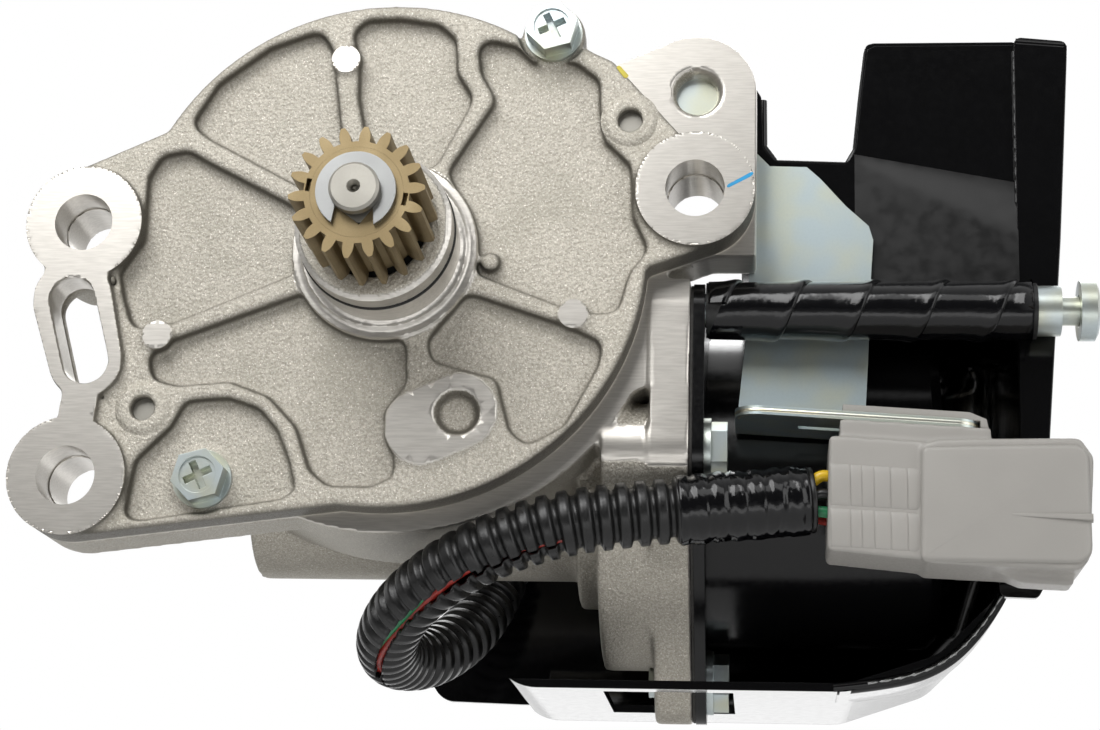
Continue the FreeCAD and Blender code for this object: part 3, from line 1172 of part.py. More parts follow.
def shield():
    """Pressed steel stone shield: front plate, roof, rear wall, right wall and floor, with its side."""
    thickness = float(s.sheet_thickness)
    front = float(SHIELD_FRONT)
    back = float(SHIELD_BACK)
    plate_front = float(FLANGE_DEPTH) + thickness

    def pressed(wall, start, end, bend):
        face = rounded(shield_outline(wall), 9.0 - wall) if wall else shield_rounded()
        face.translate(Vector(0, start, 0))
        solid = face.extrude(Vector(0, end - start, 0))
        edges = []
        for edge in solid.Edges:
            box = edge.BoundBox
            on_back = abs(box.YMin - end) < 1e-4 and abs(box.YMax - end) < 1e-4
            open_side = box.XMax < 61.9 and box.ZMax > float(s.shield_floor) + thickness + 0.5
            if on_back and not open_side:
                edges.append(edge)
        return solid.makeFillet(bend, edges)

    outer = pressed(0.0, front, back + thickness, float(s.shield_bend))
    inner = pressed(thickness, front - 5, back, float(s.shield_bend) - thickness)
    tub = outer.cut(inner)
    tongue = rounded([(-4, -64), (2, -73), (19, -73.5), (32, -73.5), (32, -40), (10, -46)], 5.0)
    tongue.translate(Vector(0, back, 0))
    tub = tub.fuse(tongue.extrude(Vector(0, thickness, 0)))
    roof = float(s.shield_roof)
    plate = rounded([
        (49, 41.0), (66, 43.5), (69.6, 37.5), (70.0, 27.0), (72.2, 24.4), (86.4, 23.9), (87.6, 26.5),
        (88.7, 37.4), (89.9, s.shield_top - 0.4), (91.4, s.shield_top), (s.shield_right, s.shield_top),
        (s.shield_right, roof - 2), (68.0, roof - 2), (67.6, 20.5), (56, 24.5), (48, 31),
    ], 1.6)
    plate.translate(Vector(0, plate_front, 0))
    plate_solid = plate.extrude(Vector(0, thickness, 0))
    roof_sheet = Part.makeBox(float(s.shield_right) - 68.0, front - plate_front + 1, thickness,
                              Vector(68.0, plate_front, roof - thickness))
    right_sheet = Part.makeBox(thickness, front - plate_front + 1, roof + 52,
                               Vector(float(s.shield_right) - thickness, plate_front, -52))
    tub = tub.fuse([plate_solid, roof_sheet, right_sheet])
    window = Part.makeBox(24.4, 34.0, 12.0,
                          Vector(40.3, float(s.motor_depth) - 22.5, float(s.shield_floor) - 5))
    hole_ear = Part.makeCylinder(float(s.bracket_bolt_d) / 2 + 0.4, 6,
                                 Vector(float(s.ear_x), plate_front - 2, float(s.ear_z)), Vector(0, 1, 0))
    hole_back = Part.makeCylinder(float(s.bracket_bolt_d) / 2 + 0.4, 6,
                                  Vector(float(s.shield_pad_x), back - 2, float(MOTOR_Z)), Vector(0, 1, 0))
    tub = tub.cut([window, hole_ear, hole_back]).removeSplitter()
    node(feature("stone_shield", tub), "stone_shield")

    side = rounded([
        (118.4, s.shield_top + 0.4), (128.6, s.shield_top - 0.6), (127.2, 24.6), (126.2, 8), (123.2, -30.7),
        (122.1, -57.9), (120.4, -61.0), (113.6, -60.8), (113.2, -57.0), (117.4, -51.0), (118.0, -30.0),
    ], 1.4)
    node(prism("shield_side", side, FLANGE_DEPTH, plate_front), "shield_side")
    sheet_back = SHIELD_BACK + s.sheet_thickness
    node(flanged_bolt("shield_bolt", s.bolt_hex, 5.0, s.bracket_bolt_d, s.sheet_thickness + 7.2,
                      (s.shield_pad_x, sheet_back, MOTOR_Z), "-Y"), "shield_bolt")


def shield_rounded():
    """The tub's outer outline, rounded only where the sheet is bent."""
    return rounded(shield_outline(0.0), 9.0)


def connector():
    """Sealed connector clipped under the bracket tab."""
    front = CONNECTOR_FRONT
    back = CONNECTOR_BACK
    rear_points = [(82.0, -34.6), (100.5, -35.8), (100.5, -57.4), (81.6, -55.6)]
    rear_block = prism("connector_rear", rounded(rear_points, 0.8), front + 0.8, back - 0.8)
    rail_points = [tab_line(84.0, s.sheet_thickness), tab_line(111.0, s.sheet_thickness),
                   (111.0, -37.0), (84.0, -37.0)]
    rail = prism("connector_rail", polygon(rail_points), front + 2.4, back - 2.4)
    shroud_points = [(98.4, -36.6), (101.2, -35.4), (126.4, -35.0), (128.8, -38.6), (127.6, -56.8),
                     (125.8, -59.0), (98.2, -57.8)]
    shroud = prism("connector_shroud", rounded(shroud_points, 1.8), front, back)
    wall = float(s.connector_wall)
    floor_x = 103.0
    mouth_x = 132.0
    top = -35.3 - wall
    bottom = -58.2 + wall
    cavity_points = [(floor_x, top), (mouth_x, top), (mouth_x, bottom), (floor_x, bottom)]
    cavity = prism("connector_cavity", rounded(cavity_points, 1.0), front + wall, back - wall)
    key_points = [(110.5, -58.0), (116.2, -60.4), (125.2, -60.8), (125.4, -58.2)]
    key_tab = prism("connector_key", polygon(key_points), front + 5, back - 5)
    bores = []
    for row, height in enumerate(CAVITY_ROWS):
        for column in range(2):
            depth = wire_depth(column)
            bores.append(rod("wire_bore_%d_%d" % (row, column), s.wire_radius, WIRES_END - 80.0,
                            (80.0, depth, height), "+X"))
            bores.append(block("terminal_bore_%d_%d" % (row, column), 30.0, 2.0, 0.8,
                               (82.5, depth - 1.0, height - 0.4)))
    body = cut("connector_body", join("connector_whole", rear_block, rail, shroud, key_tab), cavity, *bores)
    node(body, "connector_housing")
    terminals = []
    for row, height in enumerate(CAVITY_ROWS):
        for column in range(2):
            depth = wire_depth(column)
            terminals.append(block("terminal_%d_%d" % (row, column), 24.0, 2.0, 0.8,
                                   (WIRES_END, depth - 1.0, height - 0.4)))
    node(group("terminals", *terminals), "terminals")
    clip_face = polygon([tab_line(84.6), tab_line(84.6, -1.5), tab_line(107.4, -1.5), tab_line(110.4, -0.4),
                         tab_line(110.8, 1.4), tab_line(109.3, 1.4), tab_line(109.3)])
    node(prism("connector_clip", clip_face, TAB_FRONT + 1.2, FLANGE_DEPTH - 1.2), "connector_clip")


def wire_depth(column):
    """How far behind the mounting faces a column of wires lies."""
    return CONNECTOR_FRONT + 5.2 + 7.0 * column


def swept(points, radius, bore=None):
    """A tube along straight runs joined by tangent arcs."""
    corners = [Vector(*point) for point in points]
    edges = []
    last = corners[0]
    radii = []
    for index in range(1, len(corners) - 1):
        corner = corners[index]
        before = corners[index - 1] - corner
        after = corners[index + 1] - corner
        reach = 0.45 * min(before.Length, after.Length)
        half = before.getAngle(after) / 2
        radii.append(reach * math.tan(half))
        bisector = (before.normalize() + after.normalize()).normalize()
        middle = corner + bisector * (radii[-1] / math.sin(half) - radii[-1])
        first = corner + before * reach
        second = corner + after * reach
        edges.append(Part.LineSegment(last, first).toShape())
        edges.append(Part.Arc(first, middle, second).toShape())
        last = second
    edges.append(Part.LineSegment(last, corners[-1]).toShape())
    path = Part.Wire(edges)
    heading = (corners[1] - corners[0]).normalize()

    def pipe(size):
        ring = Part.Wire([Part.Circle(corners[0], heading, size).toShape()])
        return path.makePipeShell([ring], True, False)

    tube = pipe(radius)
    if bore:
        tube = tube.cut(pipe(bore))
    return tube, path.Length, radii


def harness():
    """Conduit, its wires, the taped end and the elbow where it enters the housing."""
    tube, length, radii = swept(CONDUIT_ROUTE, float(s.conduit_radius), float(s.conduit_bore_radius))
    print("conduit length %.1f, tightest arc %.0f" % (length, min(radii)))
    node(feature("conduit", tube), "conduit")
    core = swept(CONDUIT_ROUTE, 3.2)[0]
    node(feature("wire_bundle", core), "wire_bundle")
    start = Vector(*CONDUIT_ROUTE[0])
    heading = (Vector(*CONDUIT_ROUTE[1]) - start).normalize()
    corner = Vector(*CONDUIT_ROUTE[1])
    half_way = (corner + Vector(*CONDUIT_ROUTE[2])) * 0.5
    tape = swept([tuple(start + heading * 0.2), tuple(corner), tuple(half_way)],
                 float(s.conduit_radius + s.tape_thickness), float(s.conduit_radius))[0]
    node(feature("harness_tape", tape), "harness_tape")
    groups = {"wire_yellow": [(0, 0)], "wires_black": [(0, 1), (1, 0), (1, 1)],
              "wires_green_red": [(2, 0), (2, 1)]}
    for label, places in groups.items():
        wires = []
        for row, column in places:
            wires.append(rod("wire_%d_%d" % (row, column), s.wire_radius, WIRES_END - WIRES_START,
                             (WIRES_START, wire_depth(column), CAVITY_ROWS[row]), "+X"))
        node(wires[0] if len(wires) == 1 else group(label, *wires), label)
    # The moulded elbow holds the conduit's upper end and turns it into the back of the housing.
    end = Vector(*CONDUIT_ROUTE[-1])
    last = (end - Vector(*CONDUIT_ROUTE[-2])).normalize()
    base_depth = float(REAR_DEPTH)
    outer = float(s.conduit_radius) + 1.6
    crown = Vector(ELBOW_X, end.y, ELBOW_Z)
    collar = Part.makeCylinder(outer, 9, end - last * 6, last)
    collar_bore = Part.makeCylinder(float(s.conduit_radius), 10, end - last * 10, last)
    arm = Part.makeCylinder(float(s.harness_hole_radius) + 1.5, end.y - base_depth,
                            Vector(ELBOW_X, base_depth, ELBOW_Z), Vector(0, 1, 0))
    foot = Part.makeCylinder(8.2, 2.0, Vector(ELBOW_X, base_depth, ELBOW_Z), Vector(0, 1, 0))
    elbow = collar.fuse([Part.makeSphere(outer, crown), arm, foot]).cut(collar_bore)
    node(feature("harness_elbow", elbow.removeSplitter()), "harness_elbow")


def limit_switch():
    """Contact plate on the cover and the wiper that turns with the shaft."""
    plate = turned("contact_plate", tube_profile(20.0, CHAMBER_RADIUS - 1.5, 1.6), (0, s.split_depth, 0))
    node(plate, "contact_plate")
    hub = turned("wiper_hub", [(0, s.shaft_d / 2), (4.0, s.shaft_d / 2), (4.0, 12.0), (2.4, 12.0),
                               (2.4, 34.0), (1.2, 34.0), (1.2, 12.0), (0, 12.0)],
                 (0, s.split_depth + 4.2, 0))
    fingers = []
    for index, radius in enumerate((24.0, 28.0, 32.0)):
        fingers.append(block("finger_%d" % index, 1.6, 3.7, 2.4, (radius - 0.8, s.split_depth + 1.7, -1.2)))
    node(join("wiper", hub, *fingers), "wiper")


gear_cover()
gear_housing()
case_fittings()
output_bearings()
output_shaft()
pinion()
spiral_spring()
wheel()
worm()
rotor()
motor_case()
breather()
bracket()
shield()
connector()
harness()
limit_switch()
doc.recompute()

faults = []
for item in doc.Objects:
    if "Invalid" in item.State or "Error" in item.State:
        faults.append("%s is %s" % (item.Label, item.State))
for item in NODES:
    if item.Shape.isNull() or not item.Shape.isValid() or not item.Shape.Solids:
        faults.append("%s has a bad shape" % item.Label)
if faults:
    raise SystemExit("\n".join(faults))

os.makedirs("parts", exist_ok=True)
for item in NODES:
    item.Shape.exportStep("parts/%s.step" % item.Label)
    box = item.Shape.BoundBox
    print("%-20s solids %2d volume %9.1f  x %7.1f %7.1f  y %7.1f %7.1f  z %7.1f %7.1f" % (
        item.Label, len(item.Shape.Solids), item.Shape.Volume, box.XMin, box.XMax, box.YMin, box.YMax,
        box.ZMin, box.ZMax))
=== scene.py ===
"""Looks of the differential lock actuator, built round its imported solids. X right, Y back, Z up.

Numbers are millimetres and degrees where nothing else is said; the scene itself is in metres.
"""
import bpy
import math
import numpy as np
from mathutils import Matrix, Vector


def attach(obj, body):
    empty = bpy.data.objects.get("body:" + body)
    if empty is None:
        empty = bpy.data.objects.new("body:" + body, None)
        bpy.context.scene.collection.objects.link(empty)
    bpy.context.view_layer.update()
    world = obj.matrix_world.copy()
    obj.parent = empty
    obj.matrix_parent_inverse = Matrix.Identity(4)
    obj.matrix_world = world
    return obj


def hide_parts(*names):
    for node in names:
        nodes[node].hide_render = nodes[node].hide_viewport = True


MM = 0.001

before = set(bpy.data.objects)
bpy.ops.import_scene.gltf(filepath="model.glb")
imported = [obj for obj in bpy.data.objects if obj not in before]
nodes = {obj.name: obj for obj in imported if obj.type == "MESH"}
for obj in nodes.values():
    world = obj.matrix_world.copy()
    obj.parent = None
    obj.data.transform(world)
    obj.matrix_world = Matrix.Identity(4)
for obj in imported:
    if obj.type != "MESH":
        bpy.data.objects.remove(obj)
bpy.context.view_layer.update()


def placed(name, data):
    """A new object in the scene."""
    thing = bpy.data.objects.new(name, data)
    bpy.context.scene.collection.objects.link(thing)
    return thing


# Camera, solved from points on the mounting faces, the cover and the pinion

PHOTO_WIDTH = 1100
FOCAL_PIXELS = 2436.3
SENSOR = 36.0
TURN = (-0.25719, -0.08462, -0.02537)
SHIFT = (-30.806, 21.886)
DISTANCE = 451.859


def photo_camera():
    """The camera that took the photograph. It was solved with X right, Y up and Z towards the camera."""
    turn = (Matrix.Rotation(TURN[0], 3, "X") @ Matrix.Rotation(TURN[1], 3, "Y")
            @ Matrix.Rotation(TURN[2], 3, "Z"))
    to_model = Matrix(((1, 0, 0), (0, 0, -1), (0, 1, 0)))
    place = turn.transposed() @ Vector((-SHIFT[0], -SHIFT[1], DISTANCE))
    data = bpy.data.cameras.new("photo_camera")
    data.sensor_fit = "HORIZONTAL"
    data.sensor_width = SENSOR
    data.lens = FOCAL_PIXELS * SENSOR / PHOTO_WIDTH
    data.clip_start = 0.01
    data.clip_end = 20
    camera = placed("photo_camera", data)
    axes = to_model @ turn.transposed()
    camera.matrix_world = Matrix.Translation(to_model @ place * MM) @ axes.to_4x4()
    bpy.context.scene.camera = camera


# Materials

class Nodes:
    """A node tree built step by step."""

    def __init__(self, tree):
        self.tree = tree

    def put(self, value, socket):
        """Link a socket to another socket, or set its value."""
        if isinstance(value, bpy.types.NodeSocket):
            self.tree.links.new(value, socket)
        else:
            socket.default_value = value

    def node(self, kind, inputs=None, **settings):
        """A node; its inputs are given by name or number."""
        made = self.tree.nodes.new(kind)
        for key, value in settings.items():
            setattr(made, key, value)
        for key, value in (inputs or {}).items():
            self.put(value, made.inputs[key])
        return made


class Shader(Nodes):
    """A material on the object's own coordinates."""

    def __init__(self, name, values):
        self.material = bpy.data.materials.new(name)
        self.material.use_nodes = True
        super().__init__(self.material.node_tree)
        self.base = self.tree.nodes["Principled BSDF"]
        for key, value in values.items():
            self.set(key, value)
        self.coordinates = self.node("ShaderNodeTexCoord").outputs["Object"]

    def set(self, socket, value):
        self.put(value, self.base.inputs[socket])

    def noise(self, size, detail=2.0, rough=0.5, stretch=None):
        """Noise with features of a given size."""
        source = self.coordinates
        if stretch:
            source = self.node("ShaderNodeMapping", {"Vector": source, "Scale": stretch}).outputs["Vector"]
        return self.node("ShaderNodeTexNoise", {"Vector": source, "Scale": 1 / (size * MM), "Detail": detail,
                                                "Roughness": rough}).outputs["Fac"]

    def cells(self, size):
        """Distance from the middles of cells of a given size."""
        return self.node("ShaderNodeTexVoronoi", {"Vector": self.coordinates,
                                                  "Scale": 1 / (size * MM)}).outputs["Distance"]

    def range(self, source, low, high, to_low=0.0, to_high=1.0):
        """A value between low and high, eased into another range."""
        return self.node("ShaderNodeMapRange", {"Value": source, "From Min": low, "From Max": high,
                                                "To Min": to_low, "To Max": to_high},
                         interpolation_type="SMOOTHSTEP").outputs["Result"]

    def math(self, kind, first, second):
        return self.node("ShaderNodeMath", {0: first, 1: second}, operation=kind).outputs["Value"]

    def blend(self, amount, first, second):
        """A mix of two colours."""
        return self.node("ShaderNodeMix", {0: amount, 6: first, 7: second}, data_type="RGBA").outputs[2]

    def bump(self, height, depth, under=None):
        """Normals for a relief of a given depth, over other normals."""
        node = self.node("ShaderNodeBump", {"Strength": 1.0, "Distance": depth * MM, "Height": height})
        if under is not None:
            self.put(under, node.inputs["Normal"])
        return node.outputs["Normal"]

    def soft_edges(self, radius):
        """Normals that run smoothly over the edges, for a small worn radius."""
        return self.node("ShaderNodeBevel", {"Radius": radius * MM}, samples=4).outputs["Normal"]

    def attribute(self, name):
        return self.node("ShaderNodeAttribute", attribute_name=name).outputs["Fac"]


def rgb(red, green, blue):
    """A colour given as it looks on screen, 0 to 255."""
    def linear(value):
        share = value / 255
        return share / 12.92 if share <= 0.04045 else ((share + 0.055) / 1.055) ** 2.4
    return (linear(red), linear(green), linear(blue), 1.0)


def darker(colour, share):
    return tuple(channel * share for channel in colour[:3]) + (1.0,)


def cast_metal():
    """Sand-cast aluminium with machined faces where the mesh says so, and painted shade darkening its steep
    as-cast walls.
    """
    shader = Shader("cast_metal", {"Metallic": 0.85})
    machined = shader.attribute("machined")
    as_cast = shader.math("SUBTRACT", 1.0, machined)
    grain = shader.noise(0.42, detail=4, rough=0.7)
    pits = shader.cells(0.7)
    stain = shader.noise(14, detail=3, rough=0.6)
    speck = shader.range(shader.noise(0.28, detail=1), 0.62, 0.78)
    lines = shader.noise(0.5, detail=2, stretch=(0.12, 1, 1.4))

    sand = shader.blend(shader.range(grain, 0.35, 0.7), rgb(160, 155, 144), rgb(204, 199, 188))
    sand = shader.blend(shader.range(stain, 0.45, 0.75, 0.0, 0.35), sand, rgb(150, 147, 134))
    sand = shader.blend(speck, sand, rgb(240, 236, 228))
    # Painted shade: the steep as-cast walls are blended towards dark grey in place of the shade that falls on
    # them.
    sand = shader.blend(shader.attribute("painted_flank_shade"), sand, rgb(92, 89, 82))
    milled = shader.blend(shader.range(lines, 0.3, 0.7), rgb(192, 188, 181), rgb(205, 201, 194))
    shader.set("Base Color", shader.blend(machined, sand, milled))

    rough_sand = shader.math("MULTIPLY", shader.range(grain, 0.3, 0.7, 0.42, 0.62), as_cast)
    shader.set("Roughness", shader.math("ADD", rough_sand, shader.math("MULTIPLY", machined, 0.33)))

    relief = shader.math("ADD", shader.math("MULTIPLY", grain, 0.8), shader.math("MULTIPLY", pits, 0.4))
    coarse = shader.bump(shader.math("MULTIPLY", relief, as_cast), 0.24)
    shader.set("Normal", shader.bump(shader.math("MULTIPLY", lines, machined), 0.006, under=coarse))
    return shader.material


def metal(name, colour, roughness, grain=0.5, depth=0.002, tint=None):
    """Plated or turned metal with a fine grain, soft edges and a faint uneven tint."""
    shader = Shader(name, {"Metallic": 1.0})
    fine = shader.noise(grain, detail=1)
    cloud = shader.noise(7.0, detail=1)
    dark = darker(colour, 0.8)
    mixed = shader.blend(shader.range(cloud, 0.3, 0.75), colour, tint or dark)
    shader.set("Base Color", shader.blend(shader.range(fine, 0.4, 0.8, 0.0, 0.15), mixed, dark))
    shader.set("Roughness", shader.range(fine, 0.3, 0.7, roughness * 0.97, roughness * 1.04))
    shader.set("Normal", shader.bump(fine, depth, under=shader.soft_edges(0.12)))
    return shader.material


def plastic(name, colour, roughness=0.35, edge=0.2, grain=0.5, depth=0.015, spread=0.85, shine=0.5):
    """Moulded plastic, rubber or paint with a faint surface."""
    shader = Shader(name, {"Specular IOR Level": shine})
    fine = shader.noise(grain, detail=3)
    broad = shader.noise(9.0, detail=2)
    shader.set("Base Color", shader.blend(shader.range(broad, 0.35, 0.7), colour, darker(colour, spread)))
    shader.set("Roughness", shader.range(fine, 0.3, 0.7, roughness * 0.85, roughness * 1.2))
    shader.set("Normal", shader.bump(fine, depth, under=shader.soft_edges(edge)))
    return shader.material


METALS = {
    "zinc_bright": {"colour": rgb(190, 200, 202), "roughness": 0.36, "tint": rgb(190, 192, 174)},
    "bright_ring": {"colour": rgb(160, 161, 160), "roughness": 0.3},
    "ground_steel": {"colour": rgb(166, 163, 155), "roughness": 0.42},
    "tan_steel": {"colour": rgb(136, 120, 90), "roughness": 0.46, "grain": 0.3, "depth": 0.005,
                  "tint": rgb(154, 138, 106)},
    "zinc_sheet": {"colour": rgb(180, 193, 196), "roughness": 0.4, "tint": rgb(190, 196, 184)},
    "zinc_edge": {"colour": rgb(222, 216, 190), "roughness": 0.3, "tint": rgb(204, 206, 196)},
    "bronze": {"colour": rgb(168, 124, 72), "roughness": 0.4},
    "dark_steel": {"colour": rgb(92, 94, 100), "roughness": 0.4},
    "copper": {"colour": rgb(176, 96, 52), "roughness": 0.35},
}

PLASTICS = {
    "gloss_black": {"colour": rgb(7, 7, 8), "roughness": 0.11, "depth": 0.004, "grain": 1.5, "shine": 0.4},
    "fold_black": {"colour": rgb(9, 9, 9), "roughness": 0.34, "depth": 0.001, "grain": 3.0, "shine": 0.4},
    "satin_black": {"colour": rgb(9, 9, 10), "roughness": 0.2, "depth": 0.006, "grain": 1.0, "shine": 0.35},
    "rubber_black": {"colour": rgb(18, 18, 18), "roughness": 0.42, "shine": 0.4},
    "conduit_black": {"colour": rgb(20, 20, 20), "roughness": 0.32, "depth": 0.008, "shine": 0.42},
    "tape_black": {"colour": rgb(8, 8, 10), "roughness": 0.13, "depth": 0.05, "grain": 1.4, "shine": 0.4},
    "grey_plastic": {"colour": rgb(153, 150, 145), "roughness": 0.42, "depth": 0.01, "edge": 0.4,
                     "spread": 0.97},
    "white_plastic": {"colour": rgb(214, 206, 180), "roughness": 0.45},
    "brown_plastic": {"colour": rgb(60, 48, 38), "roughness": 0.45},
    "gasket_grey": {"colour": rgb(52, 50, 48), "roughness": 0.8},
    "wire_yellow_skin": {"colour": rgb(232, 190, 30)},
    "wire_black_skin": {"colour": rgb(28, 28, 28)},
    "wire_green_skin": {"colour": rgb(40, 130, 84)},
    "wire_red_skin": {"colour": rgb(150, 44, 36)},
    "blue_paint": {"colour": rgb(34, 150, 204), "roughness": 0.5},
    "yellow_paint": {"colour": rgb(206, 190, 70), "roughness": 0.5},
}

MATERIALS = {"cast_metal": cast_metal()}
MATERIALS.update({name: metal(name, **look) for name, look in METALS.items()})
MATERIALS.update({name: plastic(name, **look) for name, look in PLASTICS.items()})

NODES_MADE_OF = {
    "cast_metal": ("gear_cover", "gear_housing"),
    "zinc_bright": ("cover_screws", "motor_bolts", "breather_nipple", "breather_plug", "breather_cap",
                    "bracket_bolt", "shield_bolt"),
    "bright_ring": ("e_ring", "terminals"),
    "ground_steel": ("dowels", "output_shaft", "spring_arbor", "wheel_carrier", "worm", "motor_shaft"),
    "tan_steel": ("output_pinion", "pinion_hub"),
    "zinc_sheet": ("connector_bracket",),
    "bronze": ("front_bush", "rear_bush", "thrust_washer", "can_bush", "worm_end_bush", "bell_bush"),
    "dark_steel": ("spiral_spring", "armature_core", "magnets", "brushes"),
    "copper": ("armature_windings", "commutator"),
    "gloss_black": ("stone_shield", "shield_side"),
    "satin_black": ("motor_can", "motor_plate"),
    "rubber_black": ("pilot_o_ring", "lip_seal", "cover_seal", "breather_hose", "harness_elbow"),
    "conduit_black": ("conduit",),
    "tape_black": ("hose_wrap", "harness_tape"),
    "grey_plastic": ("connector_housing", "connector_clip"),
    "white_plastic": ("worm_wheel",),
    "brown_plastic": ("brush_holder", "contact_plate", "wiper"),
    "gasket_grey": ("motor_gasket",),
    "wire_yellow_skin": ("wire_yellow",),
    "wire_black_skin": ("wire_bundle", "wires_black"),
    "wire_green_skin": ("wires_green_red",),
}


def dress(thing, material):
    """Give an object one material."""
    thing.data.materials.clear()
    thing.data.materials.append(MATERIALS[material])


def dress_nodes():
    for material, names in NODES_MADE_OF.items():
        for name in names:
            dress(nodes[name], material)


# Meshes

def evaluated(thing):
    """An object's mesh with its modifiers applied."""
    bpy.context.view_layer.update()
    return bpy.data.meshes.new_from_object(thing.evaluated_get(bpy.context.evaluated_depsgraph_get()))


def points_of(mesh):
    points = np.zeros(len(mesh.vertices) * 3)
    mesh.vertices.foreach_get("co", points)
    return points.reshape(-1, 3) / MM


def normals_of(mesh):
    normals = np.zeros(len(mesh.vertices) * 3)
    mesh.vertex_normals.foreach_get("vector", normals)
    return normals.reshape(-1, 3)


def unit(rows):
    return rows / np.linalg.norm(rows, axis=-1, keepdims=True)


def travelled(line):
    """How far along a line each of its points lies."""
    return np.concatenate([[0], np.cumsum(np.linalg.norm(np.diff(line, axis=0), axis=1))])


def resampled(line, at):
    """Points of a line at given distances along it."""
    run = travelled(line)
    return np.stack([np.interp(at, run, line[:, axis]) for axis in range(3)], 1)


def grid_faces(rows, across, closed=True, joined=False, flipped=False, gap=None):
    """Quads over points stored row by row. A closed row ends at its own start, joined rows at the first."""
    faces = []
    for row in range(rows if joined else rows - 1):
        here = row * across
        ahead = (row + 1) % rows * across
        for part in range(across if closed else across - 1):
            if gap and gap(row, part):
                continue
            after = (part + 1) % across
            quad = (here + part, here + after, ahead + after, ahead + part)
            faces.append((quad[0], quad[3], quad[2], quad[1]) if flipped else quad)
    return faces


def mesh_piece(name, points, faces, material, smooth=True):
    """A new piece on the housing."""
    mesh = bpy.data.meshes.new(name)
    mesh.from_pydata((np.asarray(points) * MM).tolist(), [], faces)
    mesh.update()
    piece = placed(name, mesh)
    if smooth:
        mesh.shade_smooth()
    dress(piece, material)
    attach(piece, "housing")
    return piece


def sheet_wall(piece, thickness):
    """Give a surface a wall on its inner side."""
    wall = piece.modifiers.new("wall", "SOLIDIFY")
    wall.thickness = thickness * MM
    wall.offset = -1


def spline_points(route, spacing):
    """Points read from a route's NURBS spline, and how far along it they lie."""
    curve = bpy.data.curves.new("route_work", "CURVE")
    curve.dimensions = "3D"
    curve.resolution_u = 24
    spline = curve.splines.new("NURBS")
    spline.points.add(len(route) - 1)
    for point, place in zip(spline.points, route):
        point.co = (*[value * MM for value in place], 1)
    spline.order_u = 3
    spline.use_endpoint_u = True
    holder = placed("route_work", curve)
    mesh = bpy.data.meshes.new_from_object(holder)
    line = points_of(mesh)
    bpy.data.objects.remove(holder)
    bpy.data.meshes.remove(mesh)
    length = travelled(line)[-1]
    at = np.linspace(0, length, round(length / spacing) + 1)
    return resampled(line, at), at


def frames_along(points):
    """Two cross directions that turn as little as they can along a line."""
    tangents = unit(np.gradient(points, axis=0))
    side = unit(np.cross(tangents[0], (0, 0, 1)))
    sides = []
    for tangent in tangents:
        side = unit(side - tangent * (side @ tangent))
        sides.append(side)
    sides = np.array(sides)
    return sides, np.cross(tangents, sides)


def tube(name, points, radii, material, segments=36, gap=None):
    """A tube along points, with one radius for each point, or one for each segment of each point."""
    sides, ups = frames_along(points)
    turn = np.linspace(0, 2 * math.pi, segments, endpoint=False)
    radii = np.broadcast_to(np.asarray(radii, dtype=float).reshape(len(points), -1), (len(points), segments))
    rings = points[:, None, :] + radii[:, :, None] * (
        np.cos(turn)[None, :, None] * sides[:, None, :] + np.sin(turn)[None, :, None] * ups[:, None, :])
    return mesh_piece(name, rings.reshape(-1, 3), grid_faces(len(points), segments, gap=gap), material)


def edge_roll(name, corners, depth, radius, waver=0.0, material="gloss_black"):
    """A rounded sheet edge, or a weld where it wavers, along (x, z) corners."""
    corners = np.array([(x, depth, z) for x, z in corners])
    length = travelled(corners)[-1]
    at = np.linspace(0, length, max(2, round(length / 0.5)))
    radii = radius * (1 + waver * (0.6 * np.sin(at * 2.3) + 0.4 * np.sin(at * 5.1 + 1.0)))
    roll = tube(name, resampled(corners, at), radii, material, 12)


# Castings: places are (x, z), and depths run along Y from the mounting faces

BOSSES = ((-57.25, 5.0), (-57.1, -43.6), (57.5, 11.4))
BOSS_RADIUS = 11.05
HOLE_RADIUS = 5.5
HOUSING_HOLE_RADIUS = 5.3
SPIGOT_RADIUS = 14.3
SPIGOT_FRONT = -13.7
SEAT_RADIUS = 17.8
SEAT_DEPTH = 1.4
PADS = ((-9.0, 37.7, 2.7), (-42.0, -16.6, 2.7), (35.4, -12.5, 2.7))
OVAL_PAD = ((8.2, -33.9), (14.9, -30.9), 7.0)
PAD_DEPTH = 1.05
SLOT = ((-58.4, -9.95), (-55.0, -21.9), 4.25)
EAR = (57.4, 33.5)
EAR_RADIUS = 7.5
EAR_DEPTH = 14
COVER_JOINT = 8.2
HOUSING_JOINT = 8.9
FLANGE_FACE = 56.3
LEDGE_DEPTHS = (20.2, 20.8)
SNAP_REACH = 0.35
FINE_EDGE = 0.9
SMOOTHING = 0.5
SHARP_ANGLE = 38


def smoothed(mesh, points, loose, rounds):
    """Round the loose points by pulling each towards the mean of its neighbours."""
    edges = np.zeros(len(mesh.edges) * 2, dtype=np.int64)
    mesh.edges.foreach_get("vertices", edges)
    edges = edges.reshape(-1, 2)
    ends = np.concatenate([edges[:, 0], edges[:, 1]])
    others = np.concatenate([edges[:, 1], edges[:, 0]])
    count = np.bincount(ends, minlength=len(points)).clip(1)[:, None]
    for _ in range(rounds):
        total = np.stack([np.bincount(ends, weights=points[others, axis], minlength=len(points))
                          for axis in range(3)], 1)
        points = points + (total / count - points) * SMOOTHING * loose[:, None]
    return points


def flank_shade_of(mesh, normals, machined, share):
    """Painted shade for the steep as-cast walls: how much their colour is darkened, blurred over a
    millimetre.
    """
    steep = np.clip((0.92 - np.abs(normals[:, 1])) / 0.5, 0, 1) * share * ~machined
    spread = np.repeat(steep[:, None], 3, axis=1)
    return np.clip(smoothed(mesh, spread, np.ones(len(steep)), 9)[:, 0], 0, 1)


